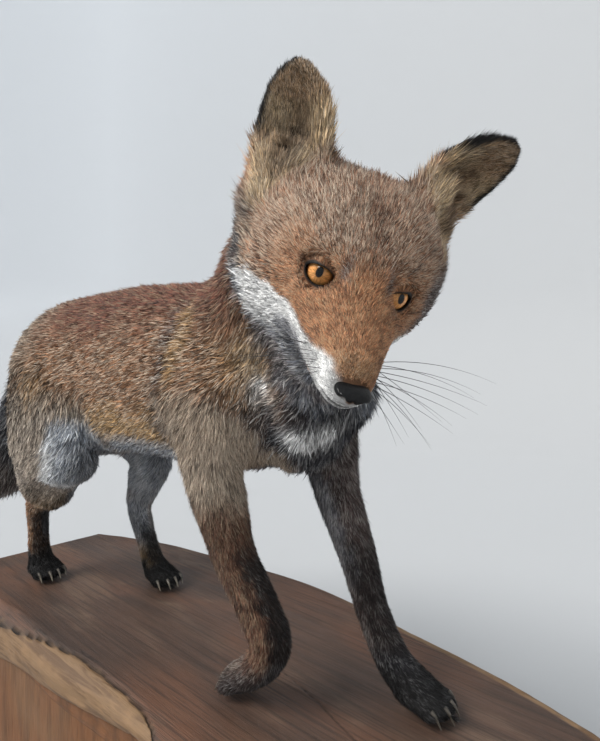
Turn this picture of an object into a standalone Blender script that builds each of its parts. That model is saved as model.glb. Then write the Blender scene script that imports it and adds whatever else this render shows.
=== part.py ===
"""Mounted red fox standing on a live-edge wooden base, as closed solids.

Metres, +Z up, the fox facing +X.  The origin is the centre of the base's underside.  The fox
is modelled whole, out to the tips of its coat: tapering tubes for the trunk, neck, head, legs,
toes and tail, and two cupped ears, welded into one body.  Thin cuts then part it into the
pieces that a person would name.  The mount is rigid, so nothing here moves.
"""
import math

import bmesh
import bpy
import numpy as np
from mathutils import Matrix, Vector

# ---------------------------------------------------------------- driving dimensions (metres)
BASE_HEIGHT = 0.170          # floor to the top of the slab
SLAB_THICKNESS = 0.050
SLAB_HALF_LENGTH = 0.410     # the slab is sawn square at both ends
SLAB_NEAR_Y = -0.1215        # live edge on the fox's right, seen from between its feet
SLAB_NEAR_SLANT = 0.028      # how that edge draws in towards the front
RIM_OVERHANG = 0.0090        # how far the pale rim stands out over the wood below it
RIM_DEEPEST = 0.0470         # the rim's lower edge stays above the slab's underside
RIM_END_X = 0.070            # in front of here the rim is thin and nearly level
SLAB_FAR_Y = 0.172           # live edge on its left, at mid length
SLAB_FAR_BOW = 0.50          # how fast that edge curves in towards the ends
FAR_INSET = 0.0060           # how far the plinth stands in from the slab's far edge
SLAB_CENTRE = Vector((0.025, 0.018, 0.0))    # the slab's middle, seen from between the feet
GAP = 0.0004                 # clearance left where one solid meets the next

COAT_VOXEL = 0.0030          # grid on which the tubes are welded together
KEPT_AT_FIRST = 0.053        # share of the welded body's faces that an even thinning keeps
KEPT_AFTER = 0.49            # share of those left when only the broad forms are thinned again

# The head's own frame: nose tip at the origin, +X out of the nose, +Y to its left, +Z up
# through the crown.  It is turned to the fox's right, bent down and tilted to the left.
NOSE_TIP = Vector((0.298, -0.120, 0.261))
HEAD_FORWARD = Vector((0.501, -0.575, -0.647))
HEAD_UP = Vector((0.659, -0.231, 0.716))
HEAD_SCALE = 0.97            # of a full-grown fox's head, whose sizes are given below
EYE_RADIUS = 0.0096
EYE_CENTRE = Vector((-0.0780, 0.0236, 0.0222))
EYE_GAZE = Vector((0.86, 0.46, 0.20))        # the way that the left eye looks
ORBIT_RADIUS = 0.0110        # the hollow in the coat in front of each eye
ORBIT_REACH = 0.0105
EAR_LENGTH = 0.075
EAR_HALF_WIDTH = 0.0315
EAR_THICKNESS = 0.0062
EAR_CUP = math.radians(62)   # half of the angle that the ear's cross-section turns through

CLAW_LENGTH = 0.0110
CLAW_RADIUS = 0.0019

# ---------------------------------------------------------------- stations of the tubes
# Trunk: distance along X, top of the back, underside, half width, sideways offset.
TRUNK = [
    (-0.358, 0.318, 0.254, 0.018, -0.008),
    (-0.342, 0.341, 0.226, 0.044, -0.008),
    (-0.308, 0.361, 0.198, 0.063, -0.008),
    (-0.258, 0.373, 0.175, 0.071, -0.006),
    (-0.200, 0.3765, 0.168, 0.068, -0.003),
    (-0.130, 0.3765, 0.178, 0.067, 0.000),
    (-0.060, 0.374, 0.184, 0.072, 0.000),
    (0.010, 0.367, 0.183, 0.076, 0.000),
    (0.070, 0.361, 0.182, 0.077, 0.001),
    (0.120, 0.352, 0.186, 0.073, 0.004),
    (0.162, 0.328, 0.198, 0.059, 0.007),
    (0.190, 0.290, 0.220, 0.032, 0.010),
]
# Other tubes: centre x, y, z, then half size across and half size along the other way.
NECK = [
    (0.040, 0.000, 0.290, 0.062, 0.066),
    (0.090, -0.004, 0.302, 0.062, 0.066),
    (0.140, -0.014, 0.318, 0.060, 0.063),
    (0.185, -0.032, 0.343, 0.061, 0.062),
    (0.216, -0.044, 0.357, 0.060, 0.060),
]
BRISKET = [
    (0.212, -0.040, 0.322, 0.040, 0.040),
    (0.196, -0.022, 0.286, 0.042, 0.042),
    (0.176, -0.004, 0.250, 0.044, 0.042),
    (0.152, 0.004, 0.222, 0.040, 0.036),
]
TAIL = [
    (-0.308, -0.006, 0.325, 0.024, 0.022),
    (-0.340, -0.008, 0.305, 0.030, 0.027),
    (-0.376, -0.011, 0.264, 0.037, 0.034),
    (-0.410, -0.015, 0.208, 0.043, 0.041),
    (-0.452, -0.019, 0.154, 0.048, 0.047),
    (-0.508, -0.023, 0.118, 0.050, 0.050),
    (-0.570, -0.026, 0.104, 0.048, 0.048),
    (-0.628, -0.028, 0.104, 0.040, 0.040),
    (-0.672, -0.028, 0.110, 0.026, 0.026),
    (-0.700, -0.028, 0.115, 0.007, 0.007),
]
LEGS = {
    "leg_front_right": [
        (0.088, -0.047, 0.285, 0.027, 0.045),
        (0.096, -0.051, 0.235, 0.029, 0.042),
        (0.103, -0.052, 0.190, 0.025, 0.031),
        (0.112, -0.050, 0.155, 0.0215, 0.0245),
        (0.127, -0.048, 0.119, 0.0185, 0.0195),
        (0.148, -0.046, 0.090, 0.0175, 0.0185),
        (0.165, -0.045, 0.064, 0.0180, 0.0180),
        (0.158, -0.044, 0.044, 0.0170, 0.0160),
        (0.143, -0.043, 0.029, 0.0170, 0.0140),
        (0.126, -0.042, 0.018, 0.0175, 0.0125),
    ],
    "leg_front_left": [
        (0.120, 0.048, 0.285, 0.029, 0.042),
        (0.136, 0.052, 0.240, 0.031, 0.040),
        (0.150, 0.048, 0.205, 0.026, 0.031),
        (0.161, 0.044, 0.172, 0.0205, 0.0240),
        (0.177, 0.043, 0.135, 0.0175, 0.0200),
        (0.190, 0.043, 0.104, 0.0160, 0.0175),
        (0.200, 0.043, 0.074, 0.0145, 0.0160),
        (0.214, 0.043, 0.046, 0.0145, 0.0160),
        (0.228, 0.043, 0.027, 0.0160, 0.0160),
        (0.248, 0.043, 0.0155, 0.0195, 0.0140),
    ],
    "leg_hind_right": [
        (-0.280, -0.033, 0.318, 0.034, 0.052),
        (-0.262, -0.043, 0.265, 0.037, 0.064),
        (-0.238, -0.050, 0.218, 0.034, 0.066),
        (-0.216, -0.052, 0.180, 0.030, 0.058),
        (-0.222, -0.053, 0.149, 0.0240, 0.044),
        (-0.248, -0.054, 0.122, 0.0180, 0.0275),
        (-0.268, -0.053, 0.098, 0.0148, 0.0190),
        (-0.268, -0.053, 0.066, 0.0130, 0.0150),
        (-0.267, -0.052, 0.036, 0.0135, 0.0150),
        (-0.262, -0.050, 0.020, 0.0165, 0.0150),
        (-0.251, -0.048, 0.014, 0.0185, 0.0130),
    ],
    "leg_hind_left": [
        (-0.262, 0.032, 0.312, 0.034, 0.052),
        (-0.228, 0.042, 0.255, 0.033, 0.062),
        (-0.188, 0.047, 0.208, 0.028, 0.058),
        (-0.158, 0.048, 0.166, 0.023, 0.044),
        (-0.166, 0.047, 0.132, 0.0190, 0.032),
        (-0.181, 0.046, 0.098, 0.0155, 0.0225),
        (-0.170, 0.045, 0.068, 0.0140, 0.0170),
        (-0.152, 0.044, 0.040, 0.0135, 0.0150),
        (-0.138, 0.043, 0.022, 0.0160, 0.0150),
        (-0.120, 0.042, 0.015, 0.0185, 0.0130),
    ],
}
# Long fur behind the right thigh and the fold of skin from its knee to the belly.
BREECHES = [
    (-0.264, -0.047, 0.290, 0.038, 0.062),
    (-0.248, -0.050, 0.245, 0.041, 0.076),
    (-0.230, -0.052, 0.207, 0.042, 0.086),
    (-0.224, -0.053, 0.178, 0.041, 0.093),
    (-0.231, -0.054, 0.156, 0.038, 0.083),
    (-0.243, -0.055, 0.138, 0.032, 0.064),
    (-0.255, -0.055, 0.122, 0.024, 0.042),
    (-0.263, -0.055, 0.106, 0.014, 0.022),
]
# Paws: middle of the toe tips, the way that the toes point (turn about Z) and how steeply.
PAWS = {
    "leg_front_right": (Vector((0.107, -0.041, 0.0115)), math.radians(184), 0.35),
    "leg_front_left": (Vector((0.277, 0.043, 0.0105)), math.radians(2), 0.05),
    "leg_hind_right": (Vector((-0.231, -0.046, 0.0105)), math.radians(6), 0.05),
    "leg_hind_left": (Vector((-0.093, 0.041, 0.0105)), math.radians(-2), 0.05),
}
TOE_SPREAD = 0.0104          # from one toe to the next
TOE_RADIUS = 0.0068
TOE_LENGTH = 0.028
# Head, in its own frame: distance from the nose tip, half width, top, underside.
HEAD = [
    (-0.0015, 0.0078, 0.0030, -0.0085),
    (-0.0070, 0.0118, 0.0072, -0.0165),
    (-0.0180, 0.0162, 0.0125, -0.0225),
    (-0.0360, 0.0220, 0.0195, -0.0275),
    (-0.0540, 0.0280, 0.0275, -0.0325),
    (-0.0700, 0.0355, 0.0385, -0.0380),
    (-0.0860, 0.0480, 0.0520, -0.0450),
    (-0.1050, 0.0625, 0.0630, -0.0510),
    (-0.1250, 0.0705, 0.0680, -0.0530),
    (-0.1450, 0.0710, 0.0675, -0.0490),
    (-0.1640, 0.0610, 0.0600, -0.0400),
    (-0.1800, 0.0360, 0.0430, -0.0200),
]
# Fur mound that carries each ear: x in the head's frame, y and z from the ear's root (y is
# measured away from the midline), and radii.
EAR_MOUND = [
    (-0.140, -0.015, -0.036, 0.026, 0.025),
    (-0.143, -0.003, -0.014, 0.028, 0.026),
    (-0.146, 0.000, 0.008, 0.023, 0.021),
]
# Ears, in the head's frame: middle of the root, the way the ear stands, the way it opens.
EARS = {
    "ear_right": (Vector((-0.142, -0.060, 0.038)), Vector((-0.26, -0.145, 0.945)),
                  Vector((0.86, -0.50, 0.10))),
    "ear_left": (Vector((-0.142, 0.045, 0.050)), Vector((-0.20, 0.54, 0.840)),
                 Vector((0.84, 0.48, 0.10))),
}

COLOURS = {
    "coat": (0.30, 0.17, 0.09, 1.0),
    "dark_coat": (0.05, 0.045, 0.045, 1.0),
    "eye": (0.45, 0.20, 0.03, 1.0),
    "nose": (0.02, 0.02, 0.02, 1.0),
    "slab": (0.16, 0.09, 0.06, 1.0),
    "plinth": (0.42, 0.28, 0.16, 1.0),
}


# ---------------------------------------------------------------- scene and materials
def clear_scene():
    """Take away whatever the file opened with."""
    for obj in list(bpy.data.objects):
        bpy.data.objects.remove(obj, do_unlink=True)


def new_collection(name):
    """A collection linked to the scene."""
    collection = bpy.data.collections.new(name)
    bpy.context.scene.collection.children.link(collection)
    return collection


def new_material(name, colour, roughness):
    """A plain Principled surface."""
    material = bpy.data.materials.new(name)
    material.use_nodes = True
    shader = material.node_tree.nodes["Principled BSDF"]
    shader.inputs["Base Color"].default_value = colour
    shader.inputs["Roughness"].default_value = roughness
    shader.inputs["Metallic"].default_value = 0.0
    return material


def new_object(name, mesh, collection):
    """An object around a mesh, in the given collection."""
    obj = bpy.data.objects.new(name, mesh)
    collection.objects.link(obj)
    return obj


def mesh_from(name, points, faces):
    """A mesh whose faces all point outward."""
    mesh = bpy.data.meshes.new(name)
    mesh.from_pydata([tuple(p) for p in points], [], faces)
    shell = bmesh.new()
    shell.from_mesh(mesh)
    bmesh.ops.recalc_face_normals(shell, faces=shell.faces)
    shell.to_mesh(mesh)
    shell.free()
    return mesh


def settle(obj):
    """Bake an object's modifiers into its mesh."""
    graph = bpy.context.evaluated_depsgraph_get()
    mesh = bpy.data.meshes.new_from_object(obj.evaluated_get(graph))
    obj.modifiers.clear()
    obj.data = mesh


# ---------------------------------------------------------------- tubes
def head_matrix():
    """From the head's frame, at full-grown size, to the fox's frame."""
    forward = HEAD_FORWARD.normalized()
    left = HEAD_UP.cross(forward).normalized()
    up = forward.cross(left)
    turn = Matrix((forward, left, up)).transposed().to_4x4()
    return Matrix.Translation(NOSE_TIP) @ turn @ Matrix.Scale(HEAD_SCALE, 4)


def resample(stations, steps):
    """Catmull-Rom curve through the stations, with so many steps between neighbours."""
    rows = np.array(stations, float)
    rows = np.vstack([2 * rows[0] - rows[1], rows, 2 * rows[-1] - rows[-2]])
    t = (np.arange(steps) / steps)[:, None]
    spans = []
    for a, b, c, d in zip(rows[:-3], rows[1:-2], rows[2:-1], rows[3:]):
        spans.append(0.5 * (2 * b + (c - a) * t + (2 * a - 5 * b + 4 * c - d) * t ** 2
                            + (3 * b - a - 3 * c + d) * t ** 3))
    return np.vstack(spans + [rows[-2:-1]])


def tube(name, stations, across, collection, sides=28, squareness=1.0):
    """Closed tube: an oval ring square to the path at each station, and rounded ends.

    A squareness under 1 fills out the oval's corners.
    """
    rows = resample(stations, 4)
    centre = rows[:, :3]
    tangent = np.gradient(centre, axis=0)
    tangent /= np.linalg.norm(tangent, axis=1)[:, None]
    side = np.array(across, float) - (tangent @ np.array(across, float))[:, None] * tangent
    side /= np.linalg.norm(side, axis=1)[:, None]
    other = np.cross(tangent, side)
    half_side = np.abs(rows[:, 3])
    half_other = np.abs(rows[:, 4])
    # Three shrinking rings round off each end.
    caps = []
    for end, outward in ((0, -1), (-1, 1)):
        reach = min(half_side[end], half_other[end])
        caps.append([(centre[end] + outward * reach * math.sin(angle) * tangent[end],
                      side[end], other[end],
                      half_side[end] * math.cos(angle), half_other[end] * math.cos(angle))
                     for angle in np.radians((30, 60, 82))])
    body = list(zip(centre, side, other, half_side, half_other))
    rings = caps[0][::-1] + body + caps[1]
    theta = 2 * math.pi * np.arange(sides) / sides
    wide = np.sign(np.cos(theta)) * np.abs(np.cos(theta)) ** squareness
    high = np.sign(np.sin(theta)) * np.abs(np.sin(theta)) ** squareness
    points = np.vstack([c + np.outer(wide * a, s) + np.outer(high * b, o)
                        for c, s, o, a, b in rings])
    faces = [list(range(sides))]
    for ring in range(len(rings) - 1):
        first = ring * sides
        for k in range(sides):
            n = (k + 1) % sides
            faces.append([first + k, first + n, first + sides + n, first + sides + k])
    faces.append(list(range((len(rings) - 1) * sides, len(rings) * sides))[::-1])
    return new_object(name, mesh_from(name, points, faces), collection)


def trunk_tube(collection):
    """The trunk, from stations that give its back and belly."""
    stations = [(x, offset, (top + bottom) / 2, half, (top - bottom) / 2)
                for x, top, bottom, half, offset in TRUNK]
    return tube("trunk_form", stations, (0, 1, 0), collection, sides=40, squareness=0.9)


def head_tube(collection):
    """The head, lofted in its own frame and then set on the neck."""
    stations = [(x, 0.0, (top + bottom) / 2, half, (top - bottom) / 2)
                for x, half, top, bottom in HEAD]
    form = tube("head_form", stations, (0, 1, 0), collection, sides=40, squareness=0.86)
    form.data.transform(head_matrix())
    return form


def ear_mound(name, collection):
    """The swelling of fur at an ear's root, down the side of the head."""
    root = EARS[name][0]
    side = math.copysign(1.0, root.y)
    stations = [(x, root.y + side * y, root.z + z, a, b) for x, y, z, a, b in EAR_MOUND]
    form = tube("ear_mound", stations, (1, 0, 0), collection, sides=20)
    form.data.transform(head_matrix())
    return form


def toe_tubes(paw, collection):
    """Four toes, the middle two ahead of the outer ones."""
    tip, turn, droop = PAWS[paw]
    ahead = Vector((math.cos(turn), math.sin(turn), 0.0))
    aside = Vector((-ahead.y, ahead.x, 0.0))
    toes = []
    for place in (-1.5, -0.5, 0.5, 1.5):
        set_back = 0.006 if abs(place) > 1 else 0.0
        end = tip + aside * place * TOE_SPREAD - ahead * (set_back + TOE_RADIUS)
        lift = Vector((0, 0, 0.004 + droop * TOE_LENGTH))
        root = end - ahead * TOE_LENGTH - aside * place * 0.003 + lift
        root.z = max(root.z, end.z)
        middle = (root + end) / 2 + Vector((0, 0, 0.002))
        stations = [(*point, TOE_RADIUS, TOE_RADIUS * 1.1) for point in (root, middle, end)]
        toes.append(tube(paw + "_toe", stations, aside, collection, sides=12))
    return toes


def ear_form(name, collection):
    """A cupped leaf: half width grows fast from the root, then narrows to a blunt tip."""
    root, stand, opening = EARS[name]
    stand = stand.normalized()
    opening = (opening - opening.dot(stand) * stand).normalized()
    aside = opening.cross(stand)
    along, across = 22, 16
    points = []
    for i in range(along + 1):
        s = i / along
        half = EAR_HALF_WIDTH * (1 - s ** 2.3) ** 0.62 * (0.86 + 0.36 * s)
        half = max(half, 0.0018)
        lean_back = -0.008 * math.sin(math.pi * s)
        for j in range(across + 1):
            angle = EAR_CUP * (2 * j / across - 1) * (1 - 0.35 * s)
            turn = EAR_CUP * (1 - 0.35 * s)
            wide = half * math.sin(angle) / math.sin(turn)
            deep = half * (math.cos(turn) - math.cos(angle)) / math.sin(turn) + lean_back
            points.append(root + stand * EAR_LENGTH * s + aside * wide + opening * deep)
    row = across + 1
    faces = [[i * row + j, i * row + j + 1, (i + 1) * row + j + 1, (i + 1) * row + j]
             for i in range(along) for j in range(across)]
    mesh = bpy.data.meshes.new(name)
    mesh.from_pydata([tuple(p) for p in points], [], faces)
    form = new_object(name + "_form", mesh, collection)
    shell = form.modifiers.new("thickness", "SOLIDIFY")
    shell.thickness = EAR_THICKNESS / HEAD_SCALE
    shell.offset = 0.0
    settle(form)
    form.data.transform(head_matrix())
    return form


# ---------------------------------------------------------------- the welded body
def mark_broad_forms(fox):
    """Group the points that lie off the head, the ears and the feet."""
    points = np.empty(len(fox.data.vertices) * 3)
    fox.data.vertices.foreach_get("co", points)
    points = points.reshape(-1, 3)
    to_head = np.array(head_matrix().inverted())
    in_head = points @ to_head[:3, :3].T + to_head[:3, 3]
    beside = np.abs(in_head[:, 1]) < 0.12
    head = (in_head[:, 0] > -0.165) & beside & (np.abs(in_head[:, 2] - 0.05) < 0.11)
    feet = (points[:, 2] < 0.05) & (points[:, 0] > -0.30)
    group = fox.vertex_groups.new(name="broad")
    group.add([int(i) for i in np.nonzero(~(head | feet))[0]], 1.0, "REPLACE")


def whole_fox(collection):
    """Every tube joined and welded on a fine grid, then smoothed and thinned out."""
    forms = [trunk_tube(collection), head_tube(collection)]
    forms.append(tube("neck_form", NECK, (0.15, 0.95, 0), collection, sides=36))
    forms.append(tube("brisket_form", BRISKET, (0.15, 0.95, 0), collection))
    forms.append(tube("tail_form", TAIL, (0, 1, 0), collection, sides=30))
    forms += [tube(name + "_form", rows, (0, 1, 0), collection) for name, rows in LEGS.items()]
    forms.append(tube("breeches_form", BREECHES, (0, 1, 0), collection, sides=32))
    for paw in PAWS:
        forms += toe_tubes(paw, collection)
    forms += [ear_form(name, collection) for name in EARS]
    forms += [ear_mound(name, collection) for name in EARS]
    joined = bmesh.new()
    for form in forms:
        joined.from_mesh(form.data)
        bpy.data.objects.remove(form, do_unlink=True)
    mesh = bpy.data.meshes.new("fox")
    joined.to_mesh(mesh)
    joined.free()
    fox = new_object("fox", mesh, collection)
    weld = fox.modifiers.new("weld_forms", "REMESH")
    weld.mode = "VOXEL"
    weld.voxel_size = COAT_VOXEL
    soften = fox.modifiers.new("soften", "SMOOTH")
    soften.factor = 0.5
    soften.iterations = 6
    settle(fox)
    thin = fox.modifiers.new("thin_evenly", "DECIMATE")
    thin.ratio = KEPT_AT_FIRST
    settle(fox)
    mark_broad_forms(fox)
    thin = fox.modifiers.new("thin_broad_forms", "DECIMATE")
    thin.ratio = KEPT_AFTER
    thin.vertex_group = "broad"
    thin.vertex_group_factor = 1.0
    settle(fox)
    return fox


# ---------------------------------------------------------------- parting the body
def prism(name, outline, thickness, frame, collection):
    """A solid block: an outline in the frame's XY plane, half the thickness to each side."""
    count = len(outline)
    half = thickness / 2
    points = [frame @ Vector((x, y, z)) for z in (-half, half) for x, y in outline]
    faces = [list(range(count)), list(range(count, 2 * count))]
    faces += [[k, (k + 1) % count, count + (k + 1) % count, count + k] for k in range(count)]
    return new_object(name, mesh_from(name, points, faces), collection)


def facing(normal, origin):
    """A frame at the origin whose X axis is the normal."""
    turn = Vector(normal).to_track_quat("X", "Z").to_matrix().to_4x4()
    return Matrix.Translation(Vector(origin)) @ turn


def block_beyond(name, normal, origin, depth, width, height, collection):
    """A box on the far side of a plane, reaching depth beyond it."""
    outline = [(0.0, -width / 2), (depth, -width / 2), (depth, width / 2), (0.0, width / 2)]
    return prism(name, outline, height, facing(normal, origin), collection)


def leg_block(name, side, inner_low, outer_high, x_from, x_to, collection):
    """All that lies outside and below a leg's cut, which slants up and out from the belly."""
    far_side, below = 0.20, -0.10
    outline = [(side * inner_low[0] * 0.2, below), (side * inner_low[0], inner_low[1]),
               (side * outer_high[0], outer_high[1]), (side * far_side, outer_high[1]),
               (side * far_side, below)]
    # The outline's X and Y run along the fox's Y and Z.
    turn = Matrix(((0, 0, 1), (1, 0, 0), (0, 1, 0))).to_4x4()
    frame = Matrix.Translation(Vector(((x_from + x_to) / 2, 0, 0))) @ turn
    return prism(name, outline, x_to - x_from, frame, collection)


def regions(collection):
    """The blocks that part the body, in the order of the cuts."""
    head = head_matrix()
    turn = head.to_3x3().normalized()
    blocks = {}
    for name, (root, stand, _) in EARS.items():
        origin = head @ (root + stand.normalized() * 0.024)
        blocks[name] = block_beyond(name + "_cut", turn @ stand, origin, 0.09, 0.10, 0.10, collection)
    nose = block_beyond("nose_cut", turn @ Vector((1, 0, 0.10)), head @ Vector((-0.0090, 0, -0.0032)),
                        0.03, 0.05, 0.0108, collection)
    blocks["nose"] = nose
    blocks["head"] = block_beyond("head_cut", (0.90, -0.39, 0.19), (0.203, -0.040, 0.338),
                                  0.22, 0.34, 0.34, collection)
    blocks["neck"] = block_beyond("neck_cut", (0.62, -0.12, 0.775), (0.118, -0.010, 0.328),
                                  0.20, 0.34, 0.26, collection)
    blocks["tail"] = block_beyond("tail_cut", (-1.0, 0.0, -0.12), (-0.347, 0.0, 0.300),
                                  0.45, 0.20, 0.64, collection)
    blocks["leg_front_right"] = leg_block("leg_front_right_cut", -1, (0.012, 0.188), (0.090, 0.275),
                                          0.050, 0.235, collection)
    blocks["leg_front_left"] = leg_block("leg_front_left_cut", 1, (0.012, 0.188), (0.095, 0.275),
                                         0.078, 0.340, collection)
    blocks["leg_hind_right"] = leg_block("leg_hind_right_cut", -1, (0.010, 0.178), (0.100, 0.310),
                                         -0.345, -0.108, collection)
    blocks["leg_hind_left"] = leg_block("leg_hind_left_cut", 1, (0.010, 0.178), (0.100, 0.310),
                                        -0.330, -0.060, collection)
    return blocks


def grow(mesh, distance):
    """Move every face of a block outward by the distance."""
    block = bmesh.new()
    block.from_mesh(mesh)
    moves = [vertex.normal * vertex.calc_shell_factor() * distance for vertex in block.verts]
    for vertex, move in zip(block.verts, moves):
        vertex.co += move
    block.to_mesh(mesh)
    block.free()


def boolean(obj, operation, other):
    """Apply one Boolean between two objects to the first."""
    modifier = obj.modifiers.new(operation.lower(), "BOOLEAN")
    modifier.operation = operation
    modifier.object = other
    settle(obj)


def part_off(fox, blocks, collection):
    """Take each block's share out of the fox; what is left over is the trunk."""
    pieces = {}
    for name, block in blocks.items():
        piece = new_object(name, fox.data.copy(), collection)
        boolean(piece, "INTERSECT", block)
        grow(block.data, GAP)
        boolean(fox, "DIFFERENCE", block)
        bpy.data.objects.remove(block, do_unlink=True)
        pieces[name] = piece
    fox.name = "trunk"
    pieces["trunk"] = fox
    return pieces


# ---------------------------------------------------------------- eyes and claws
def add_eyes(head_piece, collection):
    """Two balls sunk in the face, each in a socket with a little clearance."""
    eyes = {}
    for name, side in (("eye_right", -1), ("eye_left", 1)):
        centre = head_matrix() @ Vector((EYE_CENTRE.x, side * EYE_CENTRE.y, EYE_CENTRE.z))
        outward = head_matrix().to_3x3() @ Vector((EYE_GAZE.x, side * EYE_GAZE.y, EYE_GAZE.z))
        orbit = centre + outward.normalized() * ORBIT_REACH
        balls = (("socket", EYE_RADIUS + GAP, centre), ("orbit", ORBIT_RADIUS, orbit),
                 (name, EYE_RADIUS, centre))
        for kind, radius, middle in balls:
            ball = bmesh.new()
            bmesh.ops.create_uvsphere(ball, u_segments=14, v_segments=8, radius=radius)
            mesh = bpy.data.meshes.new(kind)
            ball.to_mesh(mesh)
            ball.free()
            mesh.transform(Matrix.Translation(middle))
            obj = new_object(kind, mesh, collection)
            if kind != name:
                boolean(head_piece, "DIFFERENCE", obj)
                bpy.data.objects.remove(obj, do_unlink=True)
            else:
                eyes[name] = obj
    return eyes


def add_claws(leg_piece, paw, collection):
    """A short blunt cone in front of each toe, joined to the paw."""
    tip, turn, droop = PAWS[paw]
    ahead = Vector((math.cos(turn), math.sin(turn), -0.25)).normalized()
    aside = Vector((-math.sin(turn), math.cos(turn), 0.0))
    for place in (-1.5, -0.5, 0.5, 1.5):
        set_back = 0.006 if abs(place) > 1 else 0.0
        root = tip + aside * place * TOE_SPREAD - ahead * (set_back + TOE_RADIUS * 0.7)
        cone = bmesh.new()
        bmesh.ops.create_cone(cone, cap_ends=True, segments=7, radius1=CLAW_RADIUS,
                              radius2=CLAW_RADIUS * 0.3, depth=CLAW_LENGTH)
        mesh = bpy.data.meshes.new("claw")
        cone.to_mesh(mesh)
        cone.free()
        mesh.transform(Matrix.Translation(root + ahead * CLAW_LENGTH / 2)
                       @ ahead.to_track_quat("Z", "Y").to_matrix().to_4x4())
        claw = new_object("claw", mesh, collection)
        boolean(leg_piece, "UNION", claw)
        bpy.data.objects.remove(claw, do_unlink=True)


# ---------------------------------------------------------------- the wooden base
def far_edge(x):
    """The live edge on the fox's left bows in towards both ends."""
    return SLAB_FAR_Y - SLAB_FAR_BOW * x * x + 0.003 * math.sin(21 * x + 1.0)


def near_edge(x):
    """The live edge on the fox's right wanders gently."""
    return SLAB_NEAR_Y + SLAB_NEAR_SLANT * x + 0.0030 * math.sin(9.5 * x + 0.6) + 0.0016 * math.sin(31 * x)


def rim_depth(x):
    """How far down the pale rim on the near side reaches; it thins towards the front."""
    if x > RIM_END_X:
        return 0.0183 - 0.015 * (x - RIM_END_X)
    slope = 0.0265 - 0.125 * x + 0.0030 * math.sin(17 * x + 1.0)
    return min(slope, RIM_DEEPEST)


def outline_ring(inset_near, inset_far, near_z, far_z):
    """Points round the base: the near edge towards the front, the far edge back again."""
    xs = [SLAB_CENTRE.x + SLAB_HALF_LENGTH * (2 * k / 22 - 1) for k in range(23)]
    near = [(x, near_edge(x) + inset_near, near_z(x)) for x in xs]
    far = [(x, far_edge(x) - inset_far, far_z) for x in reversed(xs)]
    return near + far


def stack_rings(name, rings, collection):
    """A closed solid through rings of equal count, from the top one down."""
    count = len(rings[0])
    points = [point for ring in rings for point in ring]
    faces = [list(range(count)), list(range(len(points) - count, len(points)))]
    for first in range(0, len(points) - count, count):
        faces += [[first + k, first + (k + 1) % count, first + count + (k + 1) % count,
                   first + count + k] for k in range(count)]
    return new_object(name, mesh_from(name, points, faces), collection)


def add_slab(collection):
    """The slab: a broad round on the near side down to the rim's wavy lower edge.

    Each ring: how far in it lies on the near side and on the far side, then both heights.
    """
    rings = [outline_ring(0.0190, 0.0050, lambda x: 0.0, 0.0),
             outline_ring(0.0100, 0.0012, lambda x: -0.12 * rim_depth(x), -0.0035),
             outline_ring(0.0030, 0.0000, lambda x: -0.34 * rim_depth(x), -0.0110),
             outline_ring(0.0000, 0.0008, lambda x: -0.66 * rim_depth(x), -0.0220),
             outline_ring(0.0024, 0.0020, lambda x: -rim_depth(x), -0.0320),
             outline_ring(RIM_OVERHANG, 0.0040, lambda x: -rim_depth(x) - 0.0015, -0.0400),
             outline_ring(RIM_OVERHANG, FAR_INSET, lambda x: -SLAB_THICKNESS, -SLAB_THICKNESS)]
    return stack_rings("base_slab", rings, collection)


def add_plinth(collection):
    """The block that carries the slab, flush with it under the rim."""
    top = -SLAB_THICKNESS - GAP
    near, far = RIM_OVERHANG + GAP, FAR_INSET + GAP
    return stack_rings("base_plinth", [
        outline_ring(near, far, lambda x: top, top),
        outline_ring(near, far, lambda x: -BASE_HEIGHT, -BASE_HEIGHT)], collection)


# ---------------------------------------------------------------- assembly
def main():
    """Build the mount and stand it on its base."""
    clear_scene()
    parts = new_collection("taxidermy_fox")
    cutters = new_collection("cutters")
    pieces = part_off(whole_fox(parts), regions(cutters), parts)
    for paw in PAWS:
        add_claws(pieces[paw], paw, cutters)
    pieces.update(add_eyes(pieces["head"], parts))
    pieces["base_slab"] = add_slab(parts)
    pieces["base_plinth"] = add_plinth(parts)
    materials = {name: new_material(name, colour, 0.6) for name, colour in COLOURS.items()}
    worn = {"eye_right": "eye", "eye_left": "eye", "nose": "nose", "tail": "dark_coat",
            "base_slab": "slab", "base_plinth": "plinth"}
    stand = Matrix.Translation(Vector((-SLAB_CENTRE.x, -SLAB_CENTRE.y, BASE_HEIGHT)))
    for name, piece in pieces.items():
        piece.data.transform(stand)
        piece.data.materials.clear()
        piece.data.materials.append(materials[worn.get(name, "coat")])
        piece.data.shade_smooth()


if __name__ == "__main__":
    main()
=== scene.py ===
"""Looks of a mounted red fox on its live-edge wooden base.

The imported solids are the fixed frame.  One skin replaces the solids of flesh and lies inside
them by the depth of the coat; the coat is solid mesh, in tapering tufts that are rooted on the
skin and follow the lie of the hair.  Eyes, nose, claws, whiskers and wood are pieces of their own.
"""
import math

import bmesh
import bpy
import numpy as np
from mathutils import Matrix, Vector
from bpy.props import FloatProperty, FloatVectorProperty, PointerProperty


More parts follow.
